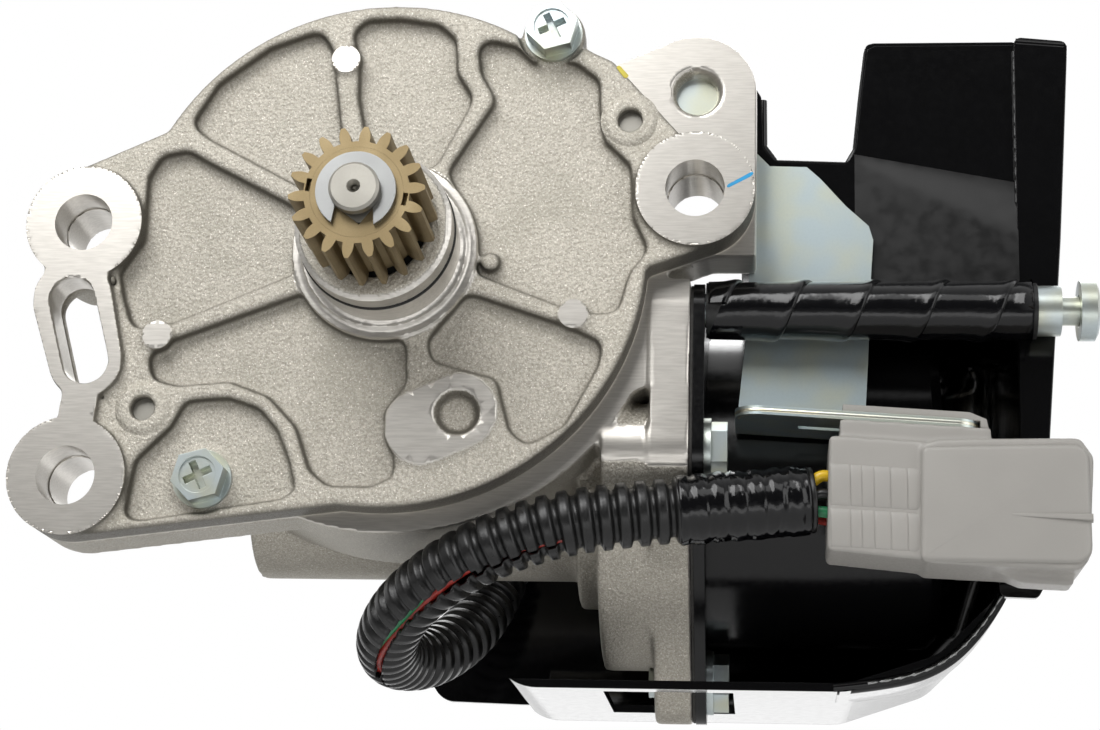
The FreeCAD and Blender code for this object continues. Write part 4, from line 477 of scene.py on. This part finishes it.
def capsule_distance(points, first, second):
    """Distance from a segment between two places."""
    flat = points[:, [0, 2]]
    first = np.array(first)
    run = np.array(second) - first
    share = np.clip(((flat - first) @ run) / (run @ run), 0, 1)
    return np.linalg.norm(flat - first - share[:, None] * run, axis=1)


def radius_from(points, centre):
    return np.hypot(points[:, 0] - centre[0], points[:, 2] - centre[1])


def snap_round(points, centre, radius, low, high, reach=SNAP_REACH):
    """Pull the points near a round wall onto it, between two depths."""
    offset = points[:, [0, 2]] - np.array(centre)
    length = np.linalg.norm(offset, axis=1)
    near = (np.abs(length - radius) < reach) & (points[:, 1] > low) & (points[:, 1] < high)
    scale = radius / length[near]
    points[near, 0] = centre[0] + offset[near, 0] * scale
    points[near, 2] = centre[1] + offset[near, 1] * scale


def near_round_edges(points):
    """Points by the ear, bosses, holes and pads, whose round edges stay as fine as they are."""
    near = (radius_from(points, EAR) < EAR_RADIUS) & (points[:, 1] < EAR_DEPTH)
    for centre in BOSSES:
        for radius in (HOLE_RADIUS, BOSS_RADIUS):
            near |= np.abs(radius_from(points, centre) - radius) < FINE_EDGE
    for x, z, radius in PADS:
        near |= np.abs(radius_from(points, (x, z)) - radius) < FINE_EDGE
    return near


def cover_machined(points, normals):
    """Which points of the cover are machined: faces, holes, pads, slot, seat, spigot and joint."""
    faces_front = normals[:, 1] < -0.8
    depth = points[:, 1]
    axis_radius = radius_from(points, (0, 0))
    machined = (np.abs(depth) < 0.3) & faces_front
    for centre in BOSSES:
        machined |= radius_from(points, centre) < HOLE_RADIUS + 0.5
    for x, z, radius in PADS:
        machined |= (radius_from(points, (x, z)) < radius + 0.2) & (depth < PAD_DEPTH)
    machined |= (capsule_distance(points, *OVAL_PAD[:2]) < OVAL_PAD[2] + 0.2) & (depth < PAD_DEPTH)
    machined |= capsule_distance(points, *SLOT[:2]) < SLOT[2] + 0.5
    machined |= (axis_radius < SEAT_RADIUS) & (depth < SEAT_DEPTH)
    machined |= depth > COVER_JOINT
    as_cast_front = (depth < SPIGOT_FRONT) & faces_front & (axis_radius < SPIGOT_RADIUS - 0.4)
    return machined & ~as_cast_front


def cover_snap(points):
    for centre in BOSSES:
        snap_round(points, centre, HOLE_RADIUS, -0.5, 9)
        snap_round(points, centre, BOSS_RADIUS, -0.5, 0.4)
    snap_round(points, (0, 0), SPIGOT_RADIUS, SPIGOT_FRONT + 0.2, -0.2)
    for x, z, radius in PADS:
        snap_round(points, (x, z), radius, 0.4, 1.1, reach=0.3)


def housing_machined(points, normals):
    """Which points of the housing are machined: joint, holes, motor flange and ledge."""
    depth = points[:, 1]
    machined = (depth < HOUSING_JOINT) | (points[:, 0] > FLANGE_FACE)
    for centre in BOSSES:
        machined |= radius_from(points, centre) < HOLE_RADIUS + 0.3
    machined |= (depth > LEDGE_DEPTHS[0]) & (depth < LEDGE_DEPTHS[1]) & (normals[:, 1] > 0.9)
    return machined


def housing_snap(points):
    for centre in BOSSES:
        snap_round(points, centre, HOUSING_HOLE_RADIUS, 8, 30)


def nothing_machined(points, normals):
    return np.zeros(len(points), dtype=bool)


def no_snap(points):
    """Moulded pieces keep their rounded walls."""


def remeshed(node, voxel):
    """A node's mesh made again from even quads."""
    copy = placed("remesh_work", nodes[node].data.copy())
    remesh = copy.modifiers.new("remesh", "REMESH")
    remesh.mode = "VOXEL"
    remesh.voxel_size = voxel * MM
    made = evaluated(copy)
    bpy.data.objects.remove(copy)
    return made


def add_attribute(mesh, name, values):
    layer = mesh.attributes.new(name, "FLOAT", "POINT")
    layer.data.foreach_set("value", values.astype(np.float32))


def lightened(piece, fine, keep_share):
    """Fewer faces away from the fine points."""
    group = piece.vertex_groups.new(name="reducible")
    group.add(np.flatnonzero(~fine).tolist(), 1.0, "REPLACE")
    reduce = piece.modifiers.new("reduce", "DECIMATE")
    reduce.ratio = keep_share
    reduce.vertex_group = "reducible"
    reduce.vertex_group_factor = 10
    lighter = evaluated(piece)
    piece.modifiers.clear()
    piece.data = lighter


def casting(name, node, voxel, rounds, keep_share, machined_rule, snap_rule, finish="cast_metal",
            flank_shade_share=0.0):
    """A cast piece: the node's shape with its cast edges rounded, its machined faces kept and painted shade
    on its steep walls.
    """
    mesh = remeshed(node, voxel)
    points = points_of(mesh)
    machined = machined_rule(points, normals_of(mesh))
    points = smoothed(mesh, points, (~machined).astype(float), rounds)
    straighter = smoothed(mesh, points, machined.astype(float), 5)
    points[:, [0, 2]] = straighter[:, [0, 2]]
    snap_rule(points)
    mesh.vertices.foreach_set("co", (points * MM).ravel())
    add_attribute(mesh, "machined", machined)
    mesh.update()
    # Painted shade on the steep as-cast walls, stored on the mesh for the material.
    add_attribute(mesh, "painted_flank_shade", flank_shade_of(mesh, normals_of(mesh), machined, flank_shade_share))
    piece = placed(name, mesh)
    lightened(piece, near_round_edges(points), keep_share)
    piece.data.shade_smooth()
    piece.data.set_sharp_from_angle(angle=math.radians(SHARP_ANGLE))
    weigh = piece.modifiers.new("weigh", "WEIGHTED_NORMAL")
    weigh.keep_sharp = True
    dress(piece, finish)
    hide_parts(node)
    return piece


def make_cover():
    cover = casting("cover_casting", "gear_cover", 0.4, 9, 0.5, cover_machined, cover_snap, flank_shade_share=0.95)
    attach(cover, "housing")


def make_housing():
    housing = casting("housing_casting", "gear_housing", 0.5, 8, 0.35, housing_machined, housing_snap,
                      flank_shade_share=0.3)
    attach(housing, "housing")


# Small forms on the cover

WEB_CENTRE = (-51.7, 5.0, -5.4)
WEB_RADII = (1.5, 3.6, 1.7)
DOWELS = ((45.2, 25.2), (-43.9, -30.6))
DOWEL_PROFILE = ((5.5, 1.62), (5.0, 1.42), (4.5, 1.12), (4.0, 1.0), (3.0, 0.98), (2.6, 1.0), (2.36, 1.2),
                 (2.3, 1.9))
O_RING_RADIUS = 13.75
O_RING_DEPTH = -8.35
O_RING_SECTION = 0.82
SCREW_SCALE = 0.87


def make_web():
    """The web of casting that closes the corner between the upper boss and the cover's rim."""
    rows = 9
    around = 16
    points = []
    for fall in np.linspace(0.05, math.pi - 0.05, rows):
        for turn in np.linspace(0, 2 * math.pi, around, endpoint=False):
            way = (math.sin(fall) * math.cos(turn), math.cos(fall), math.sin(fall) * math.sin(turn))
            points.append([middle + size * share for middle, size, share in zip(WEB_CENTRE, WEB_RADII, way)])
    web = mesh_piece("link_web", points, grid_faces(rows, around), "cast_metal")


def make_dowel_bosses():
    """The raised rings of cast metal round the two dowel holes."""
    around = 48
    for number, (x, z) in enumerate(DOWELS):
        points = [(x + radius * math.cos(turn), depth, z + radius * math.sin(turn))
                  for radius, depth in DOWEL_PROFILE
                  for turn in np.linspace(0, 2 * math.pi, around, endpoint=False)]
        faces = grid_faces(len(DOWEL_PROFILE), around)
        boss = mesh_piece("dowel_boss_%d" % number, points, faces, "cast_metal")


def make_o_ring():
    """The pilot's o-ring, standing a little out of its groove."""
    around = 96
    across = 14
    points = []
    for step in range(around):
        turn = 2 * math.pi * step / around
        for part in range(across):
            roll = 2 * math.pi * part / across
            radius = O_RING_RADIUS + O_RING_SECTION * math.cos(roll)
            depth = O_RING_DEPTH + O_RING_SECTION * math.sin(roll)
            points.append((radius * math.cos(turn), depth, radius * math.sin(turn)))
    ring = mesh_piece("pilot_ring", points, grid_faces(around, across, joined=True), "rubber_black")
    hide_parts("pilot_o_ring")


def make_screws():
    """The two cover screws at the head size that the photograph shows."""
    mesh = nodes["cover_screws"].data.copy()
    mesh.name = "cover_screw_pair"
    points = points_of(mesh)
    for chosen in (points[:, 0] < 0, points[:, 0] > 0):
        flat = points[chosen][:, [0, 2]]
        middle = (flat.min(0) + flat.max(0)) / 2
        points[np.ix_(chosen, [0, 2])] = middle + (flat - middle) * SCREW_SCALE
    mesh.vertices.foreach_set("co", (points * MM).ravel())
    mesh.update()
    pair = placed("cover_screw_pair", mesh)
    dress(pair, "zinc_bright")
    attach(pair, "housing")
    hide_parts("cover_screws")


def stroke(name, first, last, depth, width, material):
    """A thin paint mark with rounded ends between two places, on a face that looks along -Y."""
    count = 24
    run = Vector((last[0] - first[0], last[1] - first[1])).normalized()
    side = Vector((-run.y, run.x))
    middle = Vector(((first[0] + last[0]) / 2, (first[1] + last[1]) / 2))
    half = math.hypot(last[0] - first[0], last[1] - first[1]) / 2
    points = []
    for step in range(count):
        turn = 2 * math.pi * step / count
        along = half * math.copysign(abs(math.cos(turn)) ** 0.7, math.cos(turn))
        uneven = 1 + 0.25 * math.cos(2.2 * turn)
        off = width / 2 * math.copysign(abs(math.sin(turn)) ** 0.8, math.sin(turn)) * uneven
        place = middle + run * along + side * off
        points.append((place.x, depth, place.y))
    mark = mesh_piece(name, points, [tuple(range(count))], material, smooth=False)
    film = mark.modifiers.new("film", "SOLIDIFY")
    film.thickness = 0.03 * MM


def make_marks():
    stroke("inspection_mark", (63.4, 11.5), (68.2, 14.3), -0.025, 0.85, "blue_paint")
    stroke("edge_mark", (42.6, 36.0), (44.6, 33.8), 1.47, 1.1, "yellow_paint")


# Harness

CONDUIT_ROUTE = [
    (79.2, 9.0, -45.4), (64.0, 7.4, -47.0), (47.8, 5.8, -48.7), (31.5, 4.6, -51.2), (16.6, 6.4, -56.8),
    (4.8, 16.0, -63.2), (-1.4, 29.5, -68.4), (-2.2, 45.0, -70.8), (3.6, 58.0, -68.8), (10.2, 69.5, -61.4),
    (14.4, 78.0, -51.0), (17.0, 81.4, -38.4), (19.0, 81.8, -25.6), (20.0, 81.8, -13.0),
]
CONDUIT_RADIUS = 6.0
CONDUIT_SEGMENTS = 48
RIB_PITCH = 3.45
RIB_DEPTH = 1.2
SLIT_TURN = 130.0
SLIT_SPAN = (46.0, 110.0)
SLIT_GAPING = (62.0, 104.0)
TAPE_LENGTH = 25.0
TAPE_RADIUS = 6.55
TAPE_PITCH = 11.0

# Each bundle's skin, its slot, how far off the conduit's axis it runs, its radius and its turn from the slit
BUNDLES = {
    "black": ("wire_black_skin", "wrap_black", 0.0, 3.1, 0),
    "red": ("wire_red_skin", "wire_green", 3.75, 0.95, 2),
    "green": ("wire_green_skin", "wire_green", 3.6, 0.95, 20),
}

# Each node's leads: skin, slot, and depth and height where the lead enters the connector
LEADS = {
    "wire_yellow": (("wire_yellow_skin", "wire_yellow", 7.0, -41.4),),
    "wires_black": (("wire_black_skin", "wire_black", 14.0, -41.4),
                    ("wire_black_skin", "wire_black", 7.0, -44.8),
                    ("wire_black_skin", "wire_black", 14.0, -44.8)),
    "wires_green_red": (("wire_green_skin", "wire_green", 7.0, -48.1),
                        ("wire_red_skin", "wire_green", 14.0, -48.1)),
}
LEAD_RADIUS = 1.05


def ribbed(at):
    """How far each place along the conduit is from the bottom of a groove, 0 to 1."""
    return np.clip(0.88 + 1.35 * np.cos(2 * math.pi * at / RIB_PITCH), 0, 1) ** 0.8


def make_conduit(line, at):
    """The ribbed conduit, slit along one side."""
    slit = round(SLIT_TURN / 360 * CONDUIT_SEGMENTS)

    def open_at(ring, part):
        gaping = SLIT_GAPING[0] < at[ring] < SLIT_GAPING[1]
        return SLIT_SPAN[0] < at[ring] < SLIT_SPAN[1] and (part == slit or gaping and part == slit + 1)

    conduit = tube("conduit_sleeve", line, CONDUIT_RADIUS - RIB_DEPTH * (1 - ribbed(at)), "conduit_black",
                   CONDUIT_SEGMENTS, open_at)
    sheet_wall(conduit, 0.45)
    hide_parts("conduit")
    return conduit


def make_bundles(line, at):
    """The wires inside the conduit, two of them near its slit."""
    sides, ups = frames_along(line)
    bundles = []
    for key, (skin, slot, offset, radius, turn) in BUNDLES.items():
        angle = (math.radians(SLIT_TURN + turn) + 0.22 * np.sin(at / 7.0 + offset * 40))[:, None]
        core = (line + offset * (np.cos(angle) * sides + np.sin(angle) * ups))[::5]
        bundle = tube("bundle_" + key, core, np.full(len(core), radius), skin, 14)
        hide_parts("wire_bundle")
        bundles.append(bundle)
    return bundles


def make_tape(line, at):
    """Tape wound over the conduit's end, crumpled a little over the ribs."""
    taped = at < TAPE_LENGTH
    along = at[taped, None]
    turn = np.linspace(0, 1, CONDUIT_SEGMENTS, endpoint=False)
    lap = (along / TAPE_PITCH + turn[None, :]) % 1.0
    taper = np.clip((along + 0.2) / 1.2, 0.86, 1) * np.clip((TAPE_LENGTH - along) / 0.5, 0.94, 1)
    crumple = (0.05 * np.sin(6 * math.pi * turn + 1.9 * along)
               + 0.04 * np.sin(10 * math.pi * turn - 3.1 * along))
    radii = (TAPE_RADIUS - 0.20 * (1 - ribbed(along)) - 0.22 * lap + crumple) * taper
    tape = tube("tape_wound", line[taped], radii, "tape_black", CONDUIT_SEGMENTS)
    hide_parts("harness_tape")
    return tape


def make_leads():
    """The wires that fan out from the tape into the connector."""
    for node_name, wires in LEADS.items():
        for number, (skin, slot, depth, height) in enumerate(wires):
            start = (75.0, 9.0 + (depth - 10.5) * 0.45, -45.6 + (height + 44.8) * 0.75)
            path, _ = spline_points([start, (78.5, start[1] - 0.2, start[2] + 0.1),
                                     (80.6, depth - 0.3, height + 0.2), (82.0, depth, height),
                                     (86.0, depth, height)], 0.5)
            lead = tube("%s_lead_%d" % (node_name, number), path, np.full(len(path), LEAD_RADIUS), skin, 16)
            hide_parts(node_name)


def make_harness():
    line, at = spline_points(CONDUIT_ROUTE, RIB_PITCH / 12)
    conduit = make_conduit(line, at)
    on_it = make_bundles(line, at) + [make_tape(line, at)]
    make_leads()


# Breather hose with its spiral wrap

HOSE_CENTRE = (13.4, -8.4)
WRAP_SPAN = (59.9, 119.6)
WRAP_PITCH = 12.8
WRAP_RADIUS = 5.95

# Share of the pitch and radius, from the strip's buried edge to its raised one
WRAP_PROFILE = ((-0.03, 5.1), (0.03, 5.3), (0.12, 5.38), (0.5, 5.46), (0.84, 5.6), (0.93, 5.8), (0.99, 5.95),
                (1.04, 5.93), (1.065, 5.7), (1.065, 5.2))


def make_hose_wrap():
    """Overlapping spiral strip: each turn starts under the last and ends in a raised edge."""
    segments = 64
    steps = (math.ceil((WRAP_SPAN[1] - WRAP_SPAN[0]) / WRAP_PITCH) + 1) * segments + 1
    points = []
    for step in range(steps):
        turn = 2 * math.pi * step / segments
        waver = 0.05 * math.sin(3.1 * turn) + 0.04 * math.sin(7.3 * turn)
        for share, radius in WRAP_PROFILE:
            x = WRAP_SPAN[0] - WRAP_PITCH * 0.8 + WRAP_PITCH * (step / segments + share)
            x = min(max(x, WRAP_SPAN[0]), WRAP_SPAN[1])
            size = min(radius + waver * share, WRAP_RADIUS)
            points.append((x, HOSE_CENTRE[0] - size * math.cos(turn), HOSE_CENTRE[1] + size * math.sin(turn)))
    faces = grid_faces(steps, len(WRAP_PROFILE), closed=False, flipped=True)
    wrap = mesh_piece("hose_wrap_strip", points, faces, "tape_black")
    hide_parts("hose_wrap")


# Connector

CONNECTOR_SLOPE = math.tan(math.radians(-3.3))
CONNECTOR_LEFT = 82.2
CONNECTOR_REAR_FRONT = 2.6
LOBE_ROWS = ((-43.7, 4.0), (-51.5, 3.65))
LOBE_BREAKS = (0.0, 3.57, 5.6, 7.8, 10.7, 13.7, 16.8)
LOBE_BULGE = 0.45
LOBE_ROOT = 0.35

# Each corner's x, z and radius
SHROUD_CORNERS = [(98.3, -36.9, 1.6), (127.9, -36.3, 3.4), (128.0, -57.9, 3.4), (98.0, -57.6, 1.2)]
SHROUD_DEPTHS = (1.0, 3.0)
SHROUD_EDGE = 0.9


def make_connector_shell():
    shell = casting("connector_shell", "connector_housing", 0.35, 7, 0.5, nothing_machined, no_snap,
                    "grey_plastic")
    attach(shell, "housing")


def lobe(name, left, right, height, half):
    """A half-round swelling along X on the connector's rear block, sloped with the connector."""
    stations = ((left, 0.75), (left + 0.12, 0.97), (left + 0.3, 1.0),
                (right - 0.3, 1.0), (right - 0.12, 0.97), (right, 0.75))
    parts = 17
    points = []
    for x, share in stations:
        middle = height + (x - CONNECTOR_LEFT) * CONNECTOR_SLOPE
        for part in range(parts):
            turn = math.pi * part / (parts - 1)
            swell = (LOBE_BULGE + LOBE_ROOT) * share * math.sin(turn) ** 0.7
            points.append((x, CONNECTOR_REAR_FRONT + LOBE_ROOT - swell, middle + half * math.cos(turn)))
    piece = mesh_piece(name, points, grid_faces(len(stations), parts, closed=False), "grey_plastic")


def rounded_outline(corners):
    """An outline through corners of (x, z, radius), with nine points on each rounded corner."""
    outline = []
    for before, corner, after in zip(corners[-1:] + corners, corners, corners[1:] + corners[:1]):
        point = Vector(corner[:2])
        back_way = (Vector(before[:2]) - point).normalized()
        forward = (Vector(after[:2]) - point).normalized()
        half = math.acos(max(-1.0, min(1.0, back_way.dot(forward)))) / 2
        reach = corner[2] / math.tan(half)
        first = point + back_way * reach
        last = point + forward * reach
        for step in range(9):
            share = step / 8
            outline.append(first * (1 - share) ** 2 + point * 2 * share * (1 - share) + last * share ** 2)
    return np.array([tuple(place) for place in outline])


def make_connector_face():
    """The shroud's raised front face, with a rounded edge."""
    outline = rounded_outline(SHROUD_CORNERS)
    along = np.roll(outline, -1, axis=0) - np.roll(outline, 1, axis=0)
    outward = unit(np.stack([along[:, 1], -along[:, 0]], 1))
    if np.mean(np.sum(outward * (outline - outline.mean(0)), 1)) < 0:
        outward = -outward
    front, back = SHROUD_DEPTHS
    rings = [(0.0, back), (0.0, front + SHROUD_EDGE)]
    rings += [(SHROUD_EDGE * (1 - math.cos(turn)), front + SHROUD_EDGE * (1 - math.sin(turn)))
              for turn in (math.pi / 8, math.pi / 4, 3 * math.pi / 8, math.pi / 2)]
    points = [(x, depth, z) for inset, depth in rings for x, z in outline - outward * inset]
    count = len(outline)
    faces = grid_faces(len(rings), count)
    faces.append(tuple(range((len(rings) - 1) * count, len(rings) * count)))
    piece = mesh_piece("connector_face", points, faces, "grey_plastic")
    piece.data.set_sharp_from_angle(angle=math.radians(35))


def make_connector_rib():
    """The tapered rib on the shroud, sunk into its face."""
    points = [(113.6, 1.1, -49.0), (113.6, 1.1, -49.5), (128.2, 1.5, -48.9), (128.2, 1.5, -50.6),
              (114.2, 0.98, -49.1), (114.2, 0.98, -49.4), (128.1, 0.4, -49.2), (128.1, 0.4, -50.3)]
    faces = [(0, 2, 6, 4), (1, 5, 7, 3), (4, 6, 7, 5), (0, 4, 5, 1), (2, 3, 7, 6)]
    rib = mesh_piece("connector_long_rib", points, faces, "grey_plastic", smooth=False)


def make_connector_trim():
    """Two rows of swellings over the wire seals, the front face and its rib."""
    for row, (height, half) in enumerate(LOBE_ROWS):
        for number, (first, last) in enumerate(zip(LOBE_BREAKS, LOBE_BREAKS[1:])):
            name = "connector_lobe_%d_%d" % (row, number)
            lobe(name, CONNECTOR_LEFT + first, CONNECTOR_LEFT + last, height, half)
    make_connector_face()
    make_connector_rib()


# Bracket's tab

TAB_LEFT = 65.0
TAB_TOP = -28.4
TAB_SLOPE = math.tan(math.radians(3.5))
TAB_HALF = 0.8

# Each front corner's x, depth, radius, and first and last turn
TAB_CORNERS = ((70.0, 10.0, 4.25, 180, 270), (105.2, 9.0, 3.25, 270, 360))


def make_tab_edge():
    """The rounded, brighter sheared edge of the bracket's tab."""
    line = []
    for x, depth, radius, first, last in TAB_CORNERS:
        for step in range(9):
            turn = math.radians(first + (last - first) * step / 8)
            along = x + radius * math.cos(turn)
            height = TAB_TOP - (along - TAB_LEFT) * TAB_SLOPE - TAB_HALF
            line.append((along, depth + radius * math.sin(turn), height))
    edge = tube("tab_edge", np.array(line), np.full(len(line), TAB_HALF + 0.03), "zinc_edge", 14)


# Shield

SHIELD_PLATE = 22.1
SHIELD_FRONT = 27.0
FOLD_LEFT = 87.6
FOLD_RIGHT = 118.4
FOLD_TOP = 25.6
FOLD_FOOT = -6.0
CORNER_CURVE = [(84.0, -77.85), (95.7, -76.6), (105.0, -73.0), (112.0, -65.8), (117.4, -56.5), (118.7, -46.0)]
CORNER_BACK = 64.0
CORNER_SINKS_FROM = 46.0
CORNER_SINK = 2.2

# Each rolled edge's (x, z) corners, depth, radius and waver
SHIELD_EDGES = {
    "shield_notch_edge": ([(69.9, 37.0), (70.0, 27.4), (72.4, 24.0), (86.2, 23.5), (88.0, 26.6), (89.1, 37.4),
                           (90.3, 47.2), (91.6, 47.9), (118.3, 47.9)], SHIELD_PLATE + 0.8, 0.82, 0.0),
    "shield_top_edge": ([(118.8, 48.1), (128.0, 47.3)], 21.3, 0.95, 0.0),
    "shield_right_edge": ([(127.9, 47.3), (126.6, 24.6), (125.6, 8.0), (122.6, -30.7), (121.5, -57.5)],
                          21.3, 0.82, 0.0),
    "shield_weld": ([(118.5, 46.5), (118.3, 4.0)], 21.8, 0.42, 0.14),
}


def make_shield_fold():
    """The pressed crease under the shield's notch, a cone that opens to the right."""
    columns = 41
    rows = 31
    points = []
    for column in range(columns):
        x = FOLD_LEFT + (FOLD_RIGHT - FOLD_LEFT) * column / (columns - 1)
        run = x - FOLD_LEFT
        top = FOLD_TOP - run * 0.19
        width = 2.2 + run * 0.34
        bulge = 0.1 + run * 0.055
        for row in range(rows):
            z = top - (top - FOLD_FOOT) * (row / (rows - 1)) ** 1.4
            rise = min(1.0, (top - z) / width)
            rise = rise * rise * (3 - 2 * rise)
            points.append((x, SHIELD_PLATE - 0.02 - bulge * rise, z))
    faces = grid_faces(columns, rows, closed=False, flipped=True)
    fold = mesh_piece("shield_fold", points, faces, "fold_black")


def make_shield_edges():
    for name, (corners, depth, radius, waver) in SHIELD_EDGES.items():
        edge_roll(name, corners, depth, radius, waver)


def make_shield_corner():
    """The shield's lower right corner, one wide curve of sheet with a worn front edge."""
    line, _ = spline_points([(x, 0.0, z) for x, z in CORNER_CURVE], 0.8)
    depths = np.linspace(SHIELD_FRONT, CORNER_BACK, 8)
    sinks = [CORNER_SINK * max(0.0, (depth - CORNER_SINKS_FROM) / (CORNER_BACK - CORNER_SINKS_FROM))
             for depth in depths]
    points = [(x - sink, depth, z + sink) for x, _, z in line for depth, sink in zip(depths, sinks)]
    faces = grid_faces(len(line), len(depths), closed=False)
    corner = mesh_piece("shield_corner", points, faces, "gloss_black")
    sheet_wall(corner, 1.0)
    inward = [(x - 0.75, z + 0.85) for x, _, z in line]
    edge_roll("shield_corner_edge", inward, SHIELD_FRONT + 0.3, 0.85)
    edge_roll("shield_worn_edge", inward[8:-14], SHIELD_FRONT - 0.5, 0.2, 0.9, "bright_ring")


# Surroundings, in metres and watts

FLOOR_HEIGHT = -0.30
CENTRE = (0.03, 0.03, -0.02)
WORLD_LIGHT = 0.27
WORLD_FRONT = 0.08

# Each lamp's place, what it looks at, its size and its power
LAMPS = {
    "key_left": ((-0.22, -0.48, 0.45), CENTRE, (0.5, 0.5), 4.5),
    "fill_right": ((0.55, -0.40, 0.10), CENTRE, (0.4, 0.6), 1.4),
    "fill_low": ((0.05, -0.45, -0.25), CENTRE, (0.7, 0.12), 0.35),
    "strip_top": ((0.10, -0.42, 0.41), (0.10, 0.02, 0.01), (0.4, 0.25), 0.55),
    "rim_back": ((0.10, 0.55, 0.45), CENTRE, (0.6, 0.4), 2.4),
    "low_card": ((0.10, 0.80, -0.215), (0.10, 0.0, -0.215), (1.6, 0.16), 1.3),
}


def area_light(name, place, aim, size, power):
    data = bpy.data.lights.new(name, "AREA")
    data.shape = "RECTANGLE"
    data.size, data.size_y = size
    data.energy = power
    lamp = placed(name, data)
    lamp.location = place
    lamp.rotation_mode = "QUATERNION"
    lamp.rotation_quaternion = (Vector(aim) - Vector(place)).to_track_quat("-Z", "Y")
    return lamp


def make_lamps():
    """Soft lights. The low card only shows in what the object reflects."""
    lamps = {name: area_light(name, *settings) for name, settings in LAMPS.items()}
    lamps["low_card"].visible_camera = False
    lamps["low_card"].visible_diffuse = False


def make_floor():
    bpy.ops.mesh.primitive_plane_add(size=6, location=(0, 0, FLOOR_HEIGHT))
    floor = bpy.context.object
    floor.name = "studio_floor"
    shader = Shader("floor_paint", {"Roughness": 0.9, "Specular IOR Level": 0.0})
    tone = shader.range(shader.noise(60, detail=2), 0.3, 0.7)
    shader.set("Base Color", shader.blend(tone, rgb(236, 236, 236), rgb(240, 240, 240)))
    floor.data.materials.append(shader.material)


def make_world():
    """White behind the object. It lights and is reflected less from the front than from behind."""
    world = bpy.data.worlds.new("studio_world")
    bpy.context.scene.world = world
    world.use_nodes = True
    world.node_tree.nodes.clear()
    made = Nodes(world.node_tree)
    rays = made.node("ShaderNodeLightPath").outputs
    direction = made.node("ShaderNodeTexCoord").outputs["Generated"]
    split = made.node("ShaderNodeSeparateXYZ", {"Vector": direction})
    side = made.node("ShaderNodeMapRange", {"Value": split.outputs["Y"], "From Min": -0.9, "From Max": 0.1,
                                            "To Min": WORLD_FRONT, "To Max": 1.0}).outputs["Result"]
    light = made.node("ShaderNodeBackground", {"Color": side, "Strength": WORLD_LIGHT})
    shown = made.node("ShaderNodeBackground", {"Color": (1, 1, 1, 1)})
    glossy = made.node("ShaderNodeBackground", {"Color": side})
    unseen = made.node("ShaderNodeMixShader", {0: rays["Is Glossy Ray"], 1: light.outputs[0],
                                               2: glossy.outputs[0]})
    whole = made.node("ShaderNodeMixShader", {0: rays["Is Camera Ray"], 1: unseen.outputs[0],
                                              2: shown.outputs[0]})
    made.node("ShaderNodeOutputWorld", {"Surface": whole.outputs[0]})


dress_nodes()
photo_camera()
make_harness()
make_cover()
make_housing()
make_o_ring()
make_web()
make_hose_wrap()
make_connector_shell()
make_connector_trim()
make_tab_edge()
make_dowel_bosses()
make_screws()
make_marks()
make_shield_fold()
make_shield_edges()
make_shield_corner()
make_floor()
make_world()
make_lamps()

bpy.context.scene.view_settings.view_transform = "Standard"
